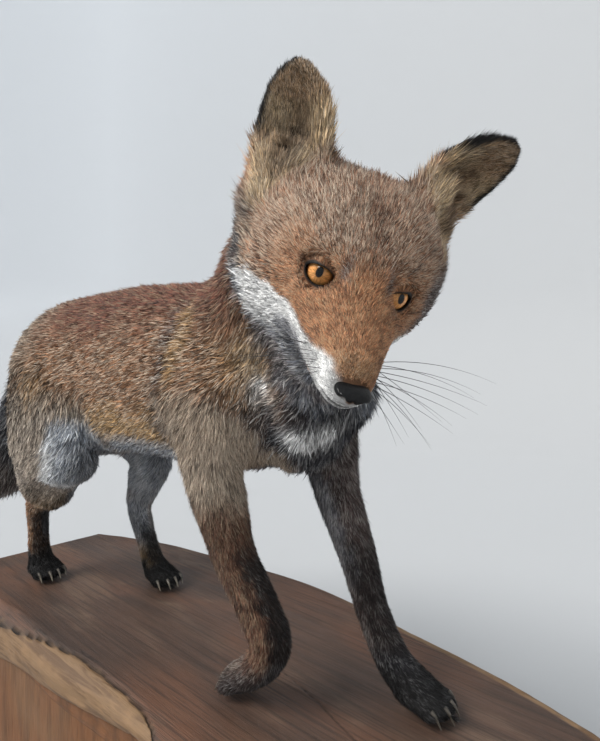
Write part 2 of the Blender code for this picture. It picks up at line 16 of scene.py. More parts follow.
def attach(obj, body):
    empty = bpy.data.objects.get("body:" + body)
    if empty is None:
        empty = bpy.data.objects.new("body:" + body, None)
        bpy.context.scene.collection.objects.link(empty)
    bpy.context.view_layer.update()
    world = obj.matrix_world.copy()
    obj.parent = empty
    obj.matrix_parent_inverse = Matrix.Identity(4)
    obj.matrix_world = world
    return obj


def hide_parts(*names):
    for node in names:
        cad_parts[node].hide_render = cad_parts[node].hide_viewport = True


bl_info = {
    "name": "Mounted fox",
    "version": (1, 0, 0),
    "blender": (4, 5, 0),
    "location": "3D View > Sidebar > Fox",
    "description": "Skin, coat, eyes, nose, claws, whiskers, wooden base and stage of a mounted fox",
    "category": "Add Mesh",
}

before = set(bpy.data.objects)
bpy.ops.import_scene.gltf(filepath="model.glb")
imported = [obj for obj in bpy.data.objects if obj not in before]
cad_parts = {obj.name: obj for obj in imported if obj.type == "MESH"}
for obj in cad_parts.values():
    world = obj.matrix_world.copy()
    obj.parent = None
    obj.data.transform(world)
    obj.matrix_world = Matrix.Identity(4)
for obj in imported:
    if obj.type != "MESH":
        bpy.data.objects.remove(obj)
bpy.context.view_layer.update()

# ---------------------------------------------------------------- where things are (metres)
# The fox's own frame: +X forward, +Y to its left, z = 0 on the slab's top, between the feet.
STAND = np.array([-0.025, -0.018, 0.170])
# The head's frame: nose tip at the origin, +X out of the nose, +Y to its left, +Z up.
NOSE_TIP = np.array([0.298, -0.120, 0.261])
HEAD_FORWARD = np.array([0.501, -0.575, -0.647])
HEAD_UP = np.array([0.659, -0.231, 0.716])
HEAD_SCALE = 0.97
EYE_CENTRE = np.array([-0.0780, 0.0236, 0.0222])
EYE_LOOK = np.array([0.93, 0.31, 0.20])
EAR_LENGTH = 0.075
EARS = {
    "ear_right": ((-0.142, -0.060, 0.038), (-0.26, -0.145, 0.945), (0.86, -0.50, 0.10)),
    "ear_left": ((-0.142, 0.045, 0.050), (-0.20, 0.54, 0.840), (0.84, 0.48, 0.10)),
}
# Middle lines of the body's parts, each in the way that its hair lies.
LINES = {
    "trunk": [(0.215, 0.000, 0.285), (0.10, 0.0, 0.285), (-0.10, 0.0, 0.280), (-0.27, -0.006, 0.285),
              (-0.37, -0.008, 0.275)],
    "neck": [(0.250, -0.062, 0.372), (0.185, -0.032, 0.338), (0.110, -0.006, 0.305), (0.03, 0.0, 0.290)],
    "tail": [(-0.308, -0.006, 0.335), (-0.340, -0.008, 0.305), (-0.376, -0.011, 0.264),
             (-0.410, -0.015, 0.208), (-0.452, -0.019, 0.154), (-0.508, -0.023, 0.118),
             (-0.570, -0.026, 0.104), (-0.628, -0.028, 0.104), (-0.715, -0.028, 0.115)],
    "leg_front_right": [(0.080, -0.045, 0.300), (0.096, -0.051, 0.235), (0.103, -0.052, 0.190),
                        (0.127, -0.048, 0.119), (0.160, -0.046, 0.078), (0.166, -0.045, 0.058),
                        (0.143, -0.043, 0.029), (0.100, -0.041, 0.010)],
    "leg_front_left": [(0.115, 0.048, 0.300), (0.136, 0.052, 0.240), (0.150, 0.048, 0.205),
                       (0.177, 0.043, 0.135), (0.200, 0.043, 0.074), (0.218, 0.043, 0.036),
                       (0.248, 0.043, 0.0155), (0.285, 0.043, 0.010)],
    "leg_hind_right": [(-0.290, -0.033, 0.330), (-0.250, -0.048, 0.245), (-0.228, -0.053, 0.178),
                       (-0.250, -0.054, 0.124), (-0.268, -0.053, 0.092), (-0.267, -0.052, 0.036),
                       (-0.256, -0.048, 0.016), (-0.222, -0.046, 0.010)],
    "leg_hind_left": [(-0.270, 0.032, 0.325), (-0.220, 0.043, 0.240), (-0.166, 0.048, 0.160),
                      (-0.181, 0.046, 0.100), (-0.170, 0.045, 0.068), (-0.150, 0.044, 0.036),
                      (-0.130, 0.042, 0.016), (-0.085, 0.041, 0.010)],
}
# Middle of each row of toes, and the way that it points, in degrees from forward.
PAWS = {
    "leg_front_right": ((0.107, -0.041, 0.0115), 184),
    "leg_front_left": ((0.277, 0.043, 0.0105), 2),
    "leg_hind_right": ((-0.231, -0.046, 0.0105), 6),
    "leg_hind_left": ((-0.093, 0.041, 0.0105), -2),
}
TOE_SPREAD = 0.0104
TOE_RADIUS = 0.0068
# How far the solids are swollen before they are welded, so that their thin cuts close.
WELD_SWELL = 0.0007
CLAW_LENGTH = 0.0084
CLAW_RADIUS = 0.00170
# The tufts: how deep they are rooted, and how wide a patch each takes on the unwrap.
ROOT_DEPTH = 0.0004
TUFT_PATCH = 0.003
FLESH = ["trunk", "neck", "head", "ear_right", "ear_left", "tail", *PAWS]


# ---------------------------------------------------------------- settings
def tone(code):
    """A colour from its usual six-digit code, as the linear values that materials take."""
    parts = [int(code[k:k + 2], 16) / 255 for k in (0, 2, 4)]
    return tuple(c / 12.92 if c <= 0.04045 else ((c + 0.055) / 1.055) ** 2.4 for c in parts)


def colour(name, code, words):
    """A colour setting with its default."""
    return FloatVectorProperty(name=name, description=words, subtype="COLOR", size=3,
                               min=0.0, max=1.0, default=tone(code))


def length(name, metres, words):
    """A length setting in metres with its default."""
    return FloatProperty(name=name, description=words, unit="LENGTH", min=0.0, precision=5,
                         default=metres)


def number(name, value, words):
    """A plain number setting with its default."""
    return FloatProperty(name=name, description=words, min=0.0, default=value)


class CoatSettings(bpy.types.PropertyGroup):
    """Sizes and colours of skin and coat."""
    voxel: length("Skin grid", 0.0026, "Grid on which the solids of flesh are welded into one skin")
    density: number("Density", 1.0, "Share of the full number of tufts")
    wildness: number("Wildness", 1.0, "How unevenly the tufts lie")
    russet: colour("Russet", "704434", "Back")
    tan: colour("Tan", "8E6648", "Flanks")
    straw: colour("Straw", "AE8B5E", "Low flanks, shoulder and neck sides")
    grizzle: colour("Grizzle", "6A5644", "Rump and thighs")
    ash: colour("Ash", "A3A9B2", "Belly and inner thighs")
    charcoal: colour("Charcoal", "2B2B31", "Chest and the band behind the shoulder")
    soot: colour("Soot", "151212", "Paws, fronts of the legs and rims of the ears")
    rust: colour("Rust", "B47C56", "Muzzle and ear bases")
    fawn: colour("Fawn", "926A50", "Forehead")
    bracken: colour("Bracken", "7C5542", "Outer sides of the legs")
    cream: colour("Cream", "C4A983", "Inside of the ears")
    umber: colour("Umber", "7E6249", "Hollows of the ears")
    white: colour("White", "F2F1EF", "Cheeks, lips and throat")
    frost: colour("Frost", "E4D2BB", "Pale tips of the hairs")


class FaceSettings(bpy.types.PropertyGroup):
    """Sizes and colours of eyes, nose, claws and whiskers."""
    eye_radius: length("Eye radius", 0.0096, "Radius of each glass eye")
    iris: colour("Iris", "FFB268", "Ring of the iris")
    iris_rim: colour("Iris rim", "7A3E18", "Edge of the iris")
    lid: colour("Lid", "17130F", "Bare rims of the lids")
    leather: colour("Nose leather", "030304", "Nose pad")
    claw: colour("Claw", "8E8472", "Tips of the claws")
    claw_root: colour("Claw root", "2A2420", "Roots of the claws")
    whisker: colour("Whisker", "141110", "Whiskers")
    whisker_width: length("Whisker width", 0.00042, "Thickness of a whisker at its root")


class WoodSettings(bpy.types.PropertyGroup):
    """Colours of the wooden base."""
    heart: colour("Heartwood", "4F3A2E", "Planed top of the slab")
    heart_dark: colour("Dark grain", "2E221B", "Dark streaks of the top")
    heart_red: colour("Red grain", "6A4631", "Reddish parts of the top")
    worn: colour("Worn top", "75604F", "Worn and dusty parts of the top")
    sap: colour("Sapwood", "7C6145", "Pale live edge")
    sap_dark: colour("Dark sapwood", "5A422D", "Brown bands of the live edge")
    face: colour("Block face", "724A2B", "Sides of the block")
    face_dark: colour("Block grain", "59391F", "Dark grain on the sides of the block")
    bark: colour("Bark", "2A221D", "Bark left along the crack")


class StageSettings(bpy.types.PropertyGroup):
    """Camera, lamps and floor."""
    lens: number("Focal length", 24.29, "Lens of the camera in millimetres")
    key: number("Key light", 3.4, "Strength of the broad light to the left of the camera")
    fill: number("Fill light", 0.45, "Strength of the weak light to the right")
    spark: number("Spark", 9.0, "Power in watts of the lamp mirrored in the eyes")
    sky: number("Sky", 0.80, "Strength of the even light")
    floor: colour("Floor", "ECEEF0", "Pale floor and backdrop")


# ---------------------------------------------------------------- plain numpy tools
def unit(vectors):
    """Vectors divided by their lengths."""
    return vectors / np.maximum(np.linalg.norm(vectors, axis=-1, keepdims=True), 1e-12)


def step(low, high, x):
    """Smooth step: 3t^2 - 2t^3 of the share t of the way from low to high."""
    t = np.clip((x - low) / (high - low), 0.0, 1.0)
    return t * t * (3 - 2 * t)


def bell(x, middle, width):
    """exp(-((x - middle) / width)^2)."""
    return np.exp(-((x - middle) / width) ** 2)


HEAD_AXES = np.array([unit(HEAD_FORWARD), unit(np.cross(HEAD_UP, HEAD_FORWARD)),
                      unit(np.cross(HEAD_FORWARD, np.cross(HEAD_UP, HEAD_FORWARD)))])


def to_head(points):
    """From the fox's frame into the head's."""
    return (points - NOSE_TIP) @ HEAD_AXES.T / HEAD_SCALE


def from_head(points):
    """From the head's frame into the fox's."""
    return np.asarray(points, float) @ HEAD_AXES * HEAD_SCALE + NOSE_TIP


def turned(direction):
    """A direction in the head's frame, as one in the fox's."""
    return np.asarray(direction, float) @ HEAD_AXES


def cell_value(cells, seed):
    """A fixed number in 0..1 for each whole-numbered cell, mixed from its three coordinates."""
    k = cells.astype(np.int64)
    h = (k[..., 0] * 73856093) ^ (k[..., 1] * 19349663) ^ (k[..., 2] * 83492791) ^ (seed * 7919)
    h = h & 0xFFFFFFFF
    h = ((h ^ (h >> 15)) * 0x2C1B3C6D) & 0xFFFFFFFF
    h = ((h ^ (h >> 12)) * 0x297A2D39) & 0xFFFFFFFF
    return ((h ^ (h >> 15)) & 0xFFFFFF) / float(0xFFFFFF)


def noise(points, size, seed=0):
    """Smooth value noise in -1..1: cell values blended between the corners of cells of a size."""
    q = np.asarray(points, float) / size
    low = np.floor(q)
    f = q - low
    f = f * f * (3 - 2 * f)
    total = np.zeros(len(q))
    for corner in range(8):
        pick = np.array([corner & 1, corner >> 1 & 1, corner >> 2 & 1])
        share = np.prod(np.where(pick, f, 1 - f), axis=1)
        total += share * cell_value(low + pick, seed)
    return 2 * total - 1


def along_line(points, line):
    """For each point the nearest place on a broken line: share of its length, place, direction."""
    line = np.array(line, float)
    start, run = line[:-1], np.diff(line, axis=0)
    size = np.linalg.norm(run, axis=1)
    before = np.concatenate([[0], np.cumsum(size)[:-1]])
    offset = points[:, None, :] - start[None]
    t = np.clip((offset * run).sum(2) / size ** 2, 0, 1)
    gap = np.linalg.norm(offset - t[..., None] * run, axis=2)
    best = gap.argmin(1)
    rows = np.arange(len(points))
    at = t[rows, best]
    share = (before[best] + at * size[best]) / size.sum()
    place = start[best] + at[:, None] * run[best]
    # The direction turns smoothly from one stretch to the next.
    middles = (before + size / 2) / size.sum()
    ways = run / size[:, None]
    way = np.stack([np.interp(share, middles, ways[:, k]) for k in range(3)], 1)
    return share, place, unit(way)


# ---------------------------------------------------------------- meshes
def new_piece(name, points, faces, fields=None, uv=None, normals=None):
    """A mesh object at the origin; points are in the fox's frame, faces an array of equal rows."""
    points = np.asarray(points, np.float32) + STAND.astype(np.float32)
    faces = np.asarray(faces, np.int32)
    mesh = bpy.data.meshes.new(name)
    mesh.vertices.add(len(points))
    mesh.vertices.foreach_set("co", points.ravel())
    mesh.loops.add(faces.size)
    mesh.loops.foreach_set("vertex_index", faces.ravel())
    mesh.polygons.add(len(faces))
    mesh.polygons.foreach_set("loop_start", np.arange(0, faces.size, faces.shape[1], dtype=np.int32))
    mesh.update(calc_edges=True)
    mesh.polygons.foreach_set("use_smooth", np.ones(len(faces), bool))
    for key, values in (fields or {}).items():
        add_field(mesh, key, values)
    if uv is not None:
        layer = mesh.uv_layers.new(name="OFBake")
        layer.uv.foreach_set("vector", uv[faces.ravel()].astype(np.float32).ravel())
    if normals is not None:
        free = mesh.attributes.new("custom_normal", "FLOAT_VECTOR", "POINT")
        free.data.foreach_set("vector", normals.astype(np.float32).ravel())
    piece = bpy.data.objects.new(name, mesh)
    bpy.context.scene.collection.objects.link(piece)
    return piece


def add_field(mesh, key, values):
    """Store a number or a colour at every vertex."""
    values = np.asarray(values, np.float32)
    if values.ndim == 1:
        mesh.attributes.new(key, "FLOAT", "POINT").data.foreach_set("value", values)
    else:
        values = np.hstack([values, np.ones((len(values), 1), np.float32)])
        mesh.attributes.new(key, "FLOAT_COLOR", "POINT").data.foreach_set("color", values.ravel())


def finish_piece(piece, material, replaced=()):
    """Give a piece its material and its place in the frame."""
    piece.data.materials.clear()
    piece.data.materials.append(material)
    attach(piece, "root")
    if replaced:
        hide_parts(*replaced)


def grid_faces(rows, columns, closed_rows=False, closed_columns=False):
    """Quads of a rows x columns grid of points, joined end to end where closed."""
    r = np.arange(rows if closed_rows else rows - 1)
    c = np.arange(columns if closed_columns else columns - 1)
    r, c = (a.ravel() for a in np.meshgrid(r, c, indexing="ij"))
    r2, c2 = (r + 1) % rows, (c + 1) % columns
    return np.stack([r * columns + c, r * columns + c2, r2 * columns + c2, r2 * columns + c], 1)


def triangles_of(quads):
    """Each quad as two triangles."""
    return np.vstack([quads[:, [0, 1, 2]], quads[:, [0, 2, 3]]])


def vertex_normals(points, triangles):
    """Unit sums of the areas and directions of the triangles round each vertex."""
    corners = points[triangles]
    across = np.cross(corners[:, 1] - corners[:, 0], corners[:, 2] - corners[:, 0])
    total = np.zeros_like(points)
    for corner in range(3):
        for axis in range(3):
            total[:, axis] += np.bincount(triangles[:, corner], across[:, axis], len(points))
    return unit(total)


def resample(rows, steps):
    """Catmull-Rom curve through rows of numbers, with so many steps between neighbours."""
    rows = np.array(rows, float)
    rows = np.vstack([2 * rows[0] - rows[1], rows, 2 * rows[-1] - rows[-2]])
    t = (np.arange(steps) / steps)[:, None]
    spans = [0.5 * (2 * b + (c - a) * t + (2 * a - 5 * b + 4 * c - d) * t ** 2
                    + (3 * b - a - 3 * c + d) * t ** 3)
             for a, b, c, d in zip(rows[:-3], rows[1:-2], rows[2:-1], rows[3:])]
    return np.vstack(spans + [rows[-2:-1]])


# ---------------------------------------------------------------- shader maths
class Wire:
    """One value in a material's nodes.  Sums and products of wires become Math nodes."""

    def __init__(self, finish, socket):
        self.finish = finish
        self.socket = socket

    def math(self, operation, a, b):
        return self.finish.add("ShaderNodeMath", {"operation": operation}, {0: a, 1: b})

    def __add__(self, other):
        return self.math("ADD", self, other)

    def __rsub__(self, other):
        return self.math("SUBTRACT", other, self)

    def __mul__(self, other):
        return self.math("MULTIPLY", self, other)

    __radd__ = __add__
    __rmul__ = __mul__

    def step(self, low, high):
        """0 below low, 1 above high, and a smooth step between."""
        return self.finish.add("ShaderNodeMapRange", {"interpolation_type": "SMOOTHSTEP"},
                               {"Value": self, "From Min": low, "From Max": high})


class Finish:
    """A material with a Principled shader, built up from named methods."""

    def __init__(self, name, constants):
        self.material = bpy.data.materials.new(name)
        self.material.use_nodes = True
        self.nodes = self.material.node_tree.nodes
        self.links = self.material.node_tree.links
        self.shader = self.nodes["Principled BSDF"]
        for key, value in constants.items():
            self.shader.inputs[key].default_value = value

    def add(self, kind, settings=None, inputs=None, output=0):
        """A node of a kind; its settings are made first, then its values and links."""
        node = self.nodes.new(kind)
        for key, value in (settings or {}).items():
            if key == "stops":
                while len(node.color_ramp.elements) < len(value):
                    node.color_ramp.elements.new(0.5)
                for stop, (at, shade) in zip(node.color_ramp.elements, value):
                    stop.position = at
                    stop.color = (*shade, 1.0)
            else:
                setattr(node, key, value)
        for key, value in (inputs or {}).items():
            if isinstance(value, Wire):
                self.links.new(value.socket, node.inputs[key])
            elif isinstance(value, (tuple, list)) and node.inputs[key].type == "RGBA":
                node.inputs[key].default_value = (*value[:3], 1.0)
            else:
                node.inputs[key].default_value = value
        return Wire(self, node.outputs[output])

    def place(self, stretch=(1, 1, 1)):
        """Object coordinates, stretched along the axes."""
        here = self.add("ShaderNodeTexCoord", output="Object")
        return self.add("ShaderNodeMapping", {}, {"Vector": here, "Scale": stretch})

    def noise(self, scale, detail=3.0, stretch=(1, 1, 1), rough=0.5, twist=0.0):
        """Noise in 0..1 with a scale in cells per metre."""
        return self.add("ShaderNodeTexNoise", {}, {"Vector": self.place(stretch), "Scale": scale,
                                                   "Detail": detail, "Roughness": rough,
                                                   "Distortion": twist})

    def field(self, key, output="Fac"):
        """A number or a colour stored at the piece's vertices."""
        return self.add("ShaderNodeAttribute", {"attribute_name": key}, {}, output)

    def mix(self, share, a, b, blend="MIX"):
        """Blend of two colours."""
        return self.add("ShaderNodeMix", {"data_type": "RGBA", "blend_type": blend},
                        {0: share, 6: a, 7: b}, 2)

    def set(self, key, value):
        """Lead a wire to a socket of the shader."""
        self.links.new(value.socket, self.shader.inputs[key])

    def bump(self, height, distance):
        """Bump from a height in 0..1 that stands for a distance in metres."""
        self.set("Normal", self.add("ShaderNodeBump", {}, {"Height": height, "Distance": distance,
                                                           "Strength": 1.0}))


# ---------------------------------------------------------------- the skin
class Skin:
    """The welded flesh as arrays, with what the coat needs to know at every vertex."""


def welded_flesh(voxel):
    """The solids of flesh, swollen a little so that they touch, welded on a fine grid."""
    joined = bmesh.new()
    for name in FLESH + ["nose"]:
        joined.from_mesh(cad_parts[name].data)
    bmesh.ops.remove_doubles(joined, verts=joined.verts, dist=0.00002)
    mesh = bpy.data.meshes.new("flesh")
    joined.to_mesh(mesh)
    joined.free()
    mesh.update()
    flesh = bpy.data.objects.new("flesh", mesh)
    bpy.context.scene.collection.objects.link(flesh)
    swell = flesh.modifiers.new("swell", "DISPLACE")
    swell.strength = WELD_SWELL
    swell.mid_level = 0.0
    weld = flesh.modifiers.new("weld", "REMESH")
    weld.mode = "VOXEL"
    weld.voxel_size = voxel
    soften = flesh.modifiers.new("soften", "SMOOTH")
    soften.factor = 0.5
    soften.iterations = 7
    done = flesh.evaluated_get(bpy.context.evaluated_depsgraph_get()).to_mesh()
    points = np.empty(len(done.vertices) * 3)
    done.vertices.foreach_get("co", points)
    quads = np.empty(len(done.loops), np.int32)
    done.loops.foreach_get("vertex_index", quads)
    if len(done.loops) != 4 * len(done.polygons):
        raise RuntimeError("the welded flesh is expected to be all quads")
    bpy.data.objects.remove(flesh, do_unlink=True)
    return points.reshape(-1, 3) - STAND, quads.reshape(-1, 4)


def largest_island(points, quads):
    """Only the largest connected body: labels are spread along the edges until they settle."""
    label = np.arange(len(points))
    pairs = np.vstack([quads[:, [0, 1]], quads[:, [1, 2]], quads[:, [2, 3]], quads[:, [3, 0]]])
    while True:
        low = np.minimum(label[pairs[:, 0]], label[pairs[:, 1]])
        new = label.copy()
        np.minimum.at(new, pairs[:, 0], low)
        np.minimum.at(new, pairs[:, 1], low)
        new = new[new]
        if (new == label).all():
            break
        label = new
    names, counts = np.unique(label, return_counts=True)
    keep = label == names[counts.argmax()]
    number_of = np.cumsum(keep) - 1
    return points[keep], number_of[quads[keep[quads].all(1)]]


def spread(values, pairs, rounds):
    """Average values (one row a vertex) with those of the neighbours, so many times."""
    a = np.concatenate([pairs[:, 0], pairs[:, 1]])
    b = np.concatenate([pairs[:, 1], pairs[:, 0]])
    count = len(values)
    degree = np.bincount(a, minlength=count)
    values = values.reshape(count, -1).astype(float)
    for _ in range(rounds):
        for k in range(values.shape[1]):
            around = np.bincount(a, values[b, k], count) / degree
            values[:, k] = 0.5 * values[:, k] + 0.5 * around
    return values


def nearest_node(points):
    """Which solid of flesh each point belongs to: that of the nearest solid vertex."""
    corners, owner = [], []
    for index, name in enumerate(FLESH):
        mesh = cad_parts[name].data
        co = np.empty(len(mesh.vertices) * 3)
        mesh.vertices.foreach_get("co", co)
        corners.append(np.unique(co.reshape(-1, 3).round(6), axis=0) - STAND)
        owner.append(np.full(len(corners[-1]), index))
    corners, owner = np.vstack(corners).astype(np.float32), np.concatenate(owner)
    square = (corners ** 2).sum(1)
    found = [owner[(square - 2 * part @ corners.T).argmin(1)]
             for part in np.array_split(points.astype(np.float32), 40)]
    return np.concatenate(found)


def ear_places(points, name):
    """Share of the ear's length, and the directions up, across and out of its opening."""
    root, stand, opening = (np.array(v, float) for v in EARS[name])
    stand = unit(stand)
    opening = unit(opening - opening @ stand * stand)
    aside = np.cross(opening, stand)
    root = from_head(root)
    stand, opening, aside = turned(stand), turned(opening), turned(aside)
    share = (points - root) @ stand / (EAR_LENGTH * HEAD_SCALE)
    across = (points - root) @ aside
    return share, across, stand, opening, aside


def coat_depths(skin):
    """How deep the coat is over each vertex: by part, and on the head and legs by place."""
    p, h = skin.points, to_head(skin.points)
    depth = np.full(len(p), 0.008)
    name_of = np.array(FLESH)[skin.part]
    depth[name_of == "neck"] = 0.0085
    share = skin.share
    legs = np.char.startswith(name_of, "leg")
    depth[legs] = (0.0075 - 0.0045 * step(0.15, 0.5, share) - 0.0012 * step(0.75, 0.95, share))[legs]
    depth[np.char.startswith(name_of, "ear")] = 0.0013
    face = np.interp(-h[:, 0], (0.0, 0.010, 0.030, 0.060, 0.080, 0.105, 0.130, 0.165),
                     (0.0006, 0.0010, 0.0018, 0.0022, 0.0030, 0.0050, 0.0070, 0.0085))
    head = name_of == "head"
    depth[head] = face[head]
    mouth = np.maximum(*(ear_mouth(p, skin.normals, name) for name in EARS))
    depth = np.where(head, depth * (1 - 0.55 * mouth), depth)
    tail = name_of == "tail"
    brush = np.interp(share, (0, 0.15, 0.35, 0.85, 1.0), (0.009, 0.014, 0.020, 0.020, 0.012))
    depth[tail] = brush[tail]
    return depth


def lie_of_hair(skin):
    """Direction of the hair at each vertex, before it is spread and laid flat on the skin."""
    p, n = skin.points, skin.normals
    h = to_head(p)
    name_of = np.array(FLESH)[skin.part]
    way = skin.way.copy()
    side = np.sign(h[:, 1])
    cheek = step(0.05, 0.10, -h[:, 0]) * step(0.010, -0.020, h[:, 2])
    back = np.stack([-np.ones(len(p)), side * (0.12 + 0.75 * cheek), 0.10 - 0.55 * cheek], 1)
    head = name_of == "head"
    way[head] = (back @ HEAD_AXES)[head]
    trunk = name_of == "trunk"
    way[trunk] += np.array([0.0, 0.0, -0.42])
    chest = (trunk | (name_of == "neck")) & (n[:, 0] > 0.3) & (p[:, 2] < 0.33)
    way[chest] = np.array([-0.25, 0.0, -1.0])
    throat = (name_of == "neck") & (n[:, 2] < 0.0)
    way[throat] += np.array([0.0, 0.0, -0.5])
    thigh = np.char.startswith(name_of, "leg_hind")
    way[thigh] -= np.array([1.1, 0.0, 0.0]) * bell(p[thigh, 2], 0.150, 0.040)[:, None]
    for name in EARS:
        here = name_of == name
        share, across, stand, opening, aside = ear_places(p, name)
        inside = (n @ opening > 0.15) & (here | (ear_mouth(p, n, name) > 0.4))
        fan = stand + aside * (25.0 * across * step(0.55, 0.0, share))[:, None]
        way[here] = stand
        way[inside] = fan[inside]
    return unit(way)


def build_skin(voxel):
    """Weld the flesh, read its parts, draw it in by the coat's depth and shape the face."""
    skin = Skin()
    points, quads = largest_island(*welded_flesh(voxel))
    skin.quads = quads
    skin.triangles = triangles_of(quads)
    pairs = np.unique(np.sort(np.vstack([quads[:, [0, 1]], quads[:, [1, 2]], quads[:, [2, 3]],
                                         quads[:, [3, 0]]]), axis=1), axis=0)
    skin.points = points
    skin.normals = vertex_normals(points, skin.triangles)
    skin.part = nearest_node(points)
    skin.share = np.zeros(len(points))
    skin.way = np.zeros((len(points), 3))
    skin.turn = np.zeros(len(points))
    for index, name in enumerate(FLESH):
        here = skin.part == index
        if name in LINES:
            line = LINES[name]
        elif name == "head":
            line = from_head([(0.0, 0, -0.004), (-0.09, 0, 0.004), (-0.185, 0, 0.010)])
        else:
            root, stand, _ = (np.array(v, float) for v in EARS[name])
            line = from_head([root, root + unit(stand) * EAR_LENGTH * 1.02])
        share, place, way = along_line(points[here], line)
        # The turn round the line, from a fixed side direction, is the other unwrap coordinate.
        across = unit(np.cross(way, (0.03, 1.0, 0.02)))
        aside = np.cross(across, way)
        offset = points[here] - place
        skin.share[here] = share
        skin.way[here] = way
        turn = np.arctan2((offset * aside).sum(1), (offset * across).sum(1))
        skin.turn[here] = turn / (2 * math.pi) + 0.5
    depth = spread(coat_depths(skin), pairs, 14)[:, 0]
    skin.weights = spread(np.eye(len(FLESH))[skin.part], pairs, 10)
    way = unit(spread(lie_of_hair(skin), pairs, 16))
    smooth_normals = unit(spread(skin.normals, pairs, 3))
    skin.outer = points
    points = points - smooth_normals * depth[:, None]
    points = shape_face(points, smooth_normals)
    relaxed = spread(points, pairs, 3)
    hold = step(0.004, 0.001, depth)[:, None]
    points = hold * points + (1 - hold) * relaxed
    skin.points = points
    skin.depth = depth
    skin.normals = unit(spread(vertex_normals(points, skin.triangles), pairs, 1))
    skin.way = unit(way - (way * skin.normals).sum(1, keepdims=True) * skin.normals)
    return skin


def mouth_height(x):
    """Height of the mouth's line in the head's frame, under the nose and back along the jaw."""
    return np.interp(-x, (0.0, 0.008, 0.020, 0.040, 0.060, 0.075),
                     (-0.0115, -0.0125, -0.0150, -0.0185, -0.0195, -0.0170))


def shape_face(points, normals):
    """Add folds to the face: brows, hollows before the eyes, cheekbones and the mouth's line."""
    h = to_head(points)
    x, y, z = h[:, 0], np.abs(h[:, 1]), h[:, 2]
    near = (x > -0.20) & (y < 0.10) & (np.abs(z) < 0.10)
    move = np.zeros(len(points))
    brow = bell(x, -0.0830, 0.0085) * bell(y, 0.0235, 0.0120) * bell(z, 0.0390, 0.0080)
    hollow = bell(x, -0.0610, 0.0095) * bell(y, 0.0165, 0.0060) * bell(z, 0.0270, 0.0075)
    stop = bell(x, -0.0660, 0.0150) * bell(y, 0.0, 0.0075) * step(0.015, 0.028, z)
    cheekbone = bell(x, -0.0860, 0.0150) * bell(z, 0.0080, 0.0080) * step(0.025, 0.040, y)
    mouth = bell(z, mouth_height(x), 0.0016) * step(-0.078, -0.066, x) * step(0.006, -0.004, x)
    move += 0.0016 * brow - 0.0034 * hollow - 0.0012 * stop + 0.0010 * cheekbone - 0.0016 * mouth
    move -= 0.0026 * bell(x, -0.0030, 0.0065) * step(0.014, 0.006, y) * step(-0.004, 0.0, z)
    points = points + normals * np.where(near, move, 0.0)[:, None]
    # The lump of the thigh is drawn in towards the fold that runs up to the belly.
    x, y, z = points.T
    lump = step(-0.245, -0.180, x) * step(-0.05, -0.10, x) * step(-0.015, -0.030, y)
    lump = lump * bell(z, 0.121, 0.023)
    points = points + np.array([-0.030, 0.006, 0.010]) * lump[:, None]
    for name in EARS:
        share, across, _, opening, _ = ear_places(points, name)
        bowl = bell(across, 0.0, 0.0120) * step(-0.20, 0.02, share) * step(0.38, 0.28, share)
        points = points - opening * (0.0110 * bowl * step(0.05, 0.45, normals @ opening) * near)[:, None]
    return points


# ---------------------------------------------------------------- markings
def palette(settings):
    """For each coat colour: its linear colour, the colour of its pale tips, and their share."""
    frost, white = np.array(settings.frost), np.array(settings.white)
    cream = np.array(settings.cream)
    table = {
        "russet": (0.7 * cream + 0.03, 0.24), "tan": (frost, 0.36), "straw": (frost, 0.32),
        "grizzle": (frost, 0.40), "ash": (white, 0.40), "charcoal": (white * 0.55, 0.26),
        "soot": (np.full(3, 0.13), 0.12), "rust": (cream, 0.30), "fawn": (frost, 0.48),
        "bracken": (cream * 0.8, 0.26), "cream": (frost, 0.35), "umber": (cream, 0.28),
        "white": (white, 0.5), "frost": (frost, 0.6),
    }
    return {name: np.concatenate([getattr(settings, name), tip, [share]])
            for name, (tip, share) in table.items()}


